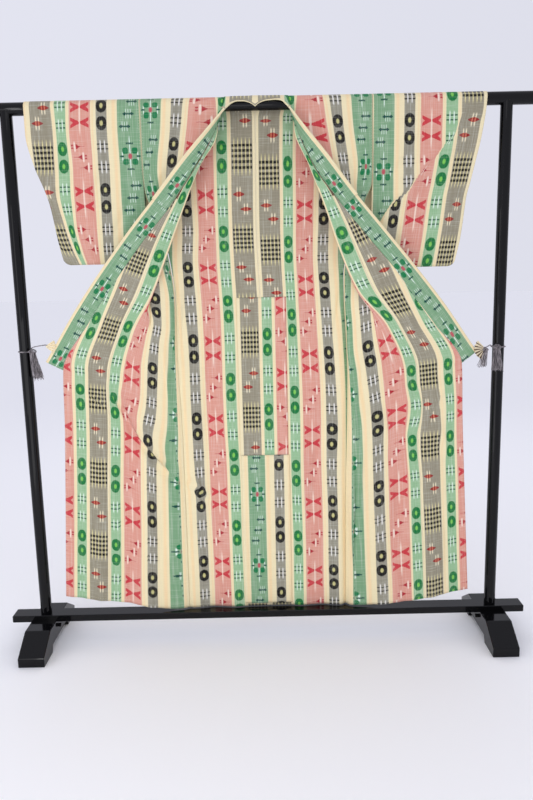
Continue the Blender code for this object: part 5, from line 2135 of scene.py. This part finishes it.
@dataclass
class Studio:
    """The camera, the lights and the floor."""

    wardrobe: Wardrobe
    focal_px: float = 720.05
    long_side_px: float = 800.0
    place: Place = (0.0116, -2.1254, 1.1378)
    yaw: float = 0.0006
    pitch_down: float = 0.1781
    roll: float = -0.0225
    wall: Colour = (230, 231, 243)
    wall_light: float = 0.95
    wall_fade: float = -0.07
    floor_reach: float = 30.0
    lamps: tuple[SoftLamp, ...] = (
        SoftLamp("key", (-2.0, -2.2, 0.9), (-0.2, 0.0, 0.6), 1.3, 1.3, 5.8),
        SoftLamp("strip", (-1.5, -2.6, 1.1), (0.0, 0.0, 1.0), 0.08, 1.6, 2.2),
        SoftLamp("low", (-0.5, -1.95, 0.30), (0.0, 0.0, 0.5), 1.2, 1.2, 6.0),
        SoftLamp("above", (0.1, -1.8, 2.1), (0.1, -1.6, 0.0), 1.6, 1.6, 5.4),
        SoftLamp("back", (0.2, 2.6, 2.5), (0.0, 0.0, 0.8), 2.0, 2.0, 9.0),
    )

    def build(self) -> None:
        """Make the stage."""
        bpy.context.scene.view_settings.view_transform = "Standard"
        self.camera()
        self.sky()
        for lamp in self.lamps:
            lamp.build()
        self.floor()

    def camera(self) -> None:
        """Stand the camera where the photograph was taken from."""
        data = bpy.data.cameras.new("view")
        data.sensor_width = 36.0
        data.lens = self.focal_px / self.long_side_px * data.sensor_width
        camera = bpy.data.objects.new("view", data)
        turn = (math.cos(self.yaw), math.sin(self.yaw))
        ahead = Vector((-turn[1] * math.cos(self.pitch_down), turn[0] * math.cos(self.pitch_down),
                        -math.sin(self.pitch_down)))
        basis = ahead.to_track_quat("-Z", "Y")
        camera.rotation_mode = "QUATERNION"
        camera.location = self.place
        spun = basis.to_matrix().to_4x4()
        spun = spun @ Matrix.Rotation(self.roll, 4, "Z")
        camera.rotation_quaternion = spun.to_quaternion()
        bpy.context.scene.collection.objects.link(camera)
        bpy.context.scene.camera = camera

    def sky(self) -> None:
        """Light the room evenly with its pale wall, a little less towards the right."""
        graph = Graph.of_world("room")
        towards = Field(graph, graph.node("ShaderNodeTexCoord").outputs["Generated"])
        right = Field(graph, graph.node("ShaderNodeSeparateXYZ", None, {0: towards}).outputs[0])
        light = right.maths("MULTIPLY_ADD", self.wall_fade, self.wall_light)
        bpy.context.scene.world = graph.finish(Color=linear(*self.wall), Strength=light)

    def floor(self) -> None:
        """Lay the floor."""
        mesh = bpy.data.meshes.new("floor")
        reach = self.floor_reach
        corners = [(-reach, -reach, 0), (reach, -reach, 0), (reach, reach, 0), (-reach, reach, 0)]
        mesh.from_pydata(corners, [], [(0, 1, 2, 3)])
        mesh.materials.append(self.wardrobe.floor)
        floor = bpy.data.objects.new("floor", mesh)
        bpy.context.scene.collection.objects.link(floor)


def main() -> None:
    """Dress the frame: the rack, the cloth, the ties and the studio."""
    logging.basicConfig(level=logging.INFO, format="%(message)s")
    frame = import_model()
    wardrobe = Wardrobe.make()
    Studio(wardrobe).build()
    left, right = Drape(Side.LEFT), Drape(Side.RIGHT)
    Rack(wardrobe).build(frame)
    for drape in (left, right):
        BodyPanel(drape, wardrobe).build()
    Collar(left, right, wardrobe).build()
    SeatStrips(left, right, wardrobe).build()
    for drape in (left, right):
        Stitching(drape, wardrobe).build()
    outer_left = Tassel("tassel_left", (-0.6725, -0.0190, 0.9285), 0.0105, 0.014, 0.094, 0.012, 5, 7)
    inner = Tassel("tassel_right_inner", (0.6500, -0.0400, 0.9042), 0.0085, 0.010, 0.062, -0.009, 4, 4)
    outer = Tassel("tassel_right_outer", (0.6888, -0.0258, 0.9130), 0.0115, 0.015, 0.082, 0.003, 5, 7)
    # The left gather's small shade_step reaches no painted valley shade; the right gather's paints one in
    # each pleat.
    Tie(left, wardrobe, 0.917, (0.6725, -0.0190, 0.9300), (0.6310, -0.0390, 0.9385), 4, (148, 218),
        (outer_left,), shade_step=0.001).build()
    Tie(right, wardrobe, 0.901, (0.6700, -0.0210, 0.9080), (0.6520, -0.0390, 0.9040), 6, (134, 250),
        (inner, outer)).build()
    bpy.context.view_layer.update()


if __name__ == "__main__":
    main()
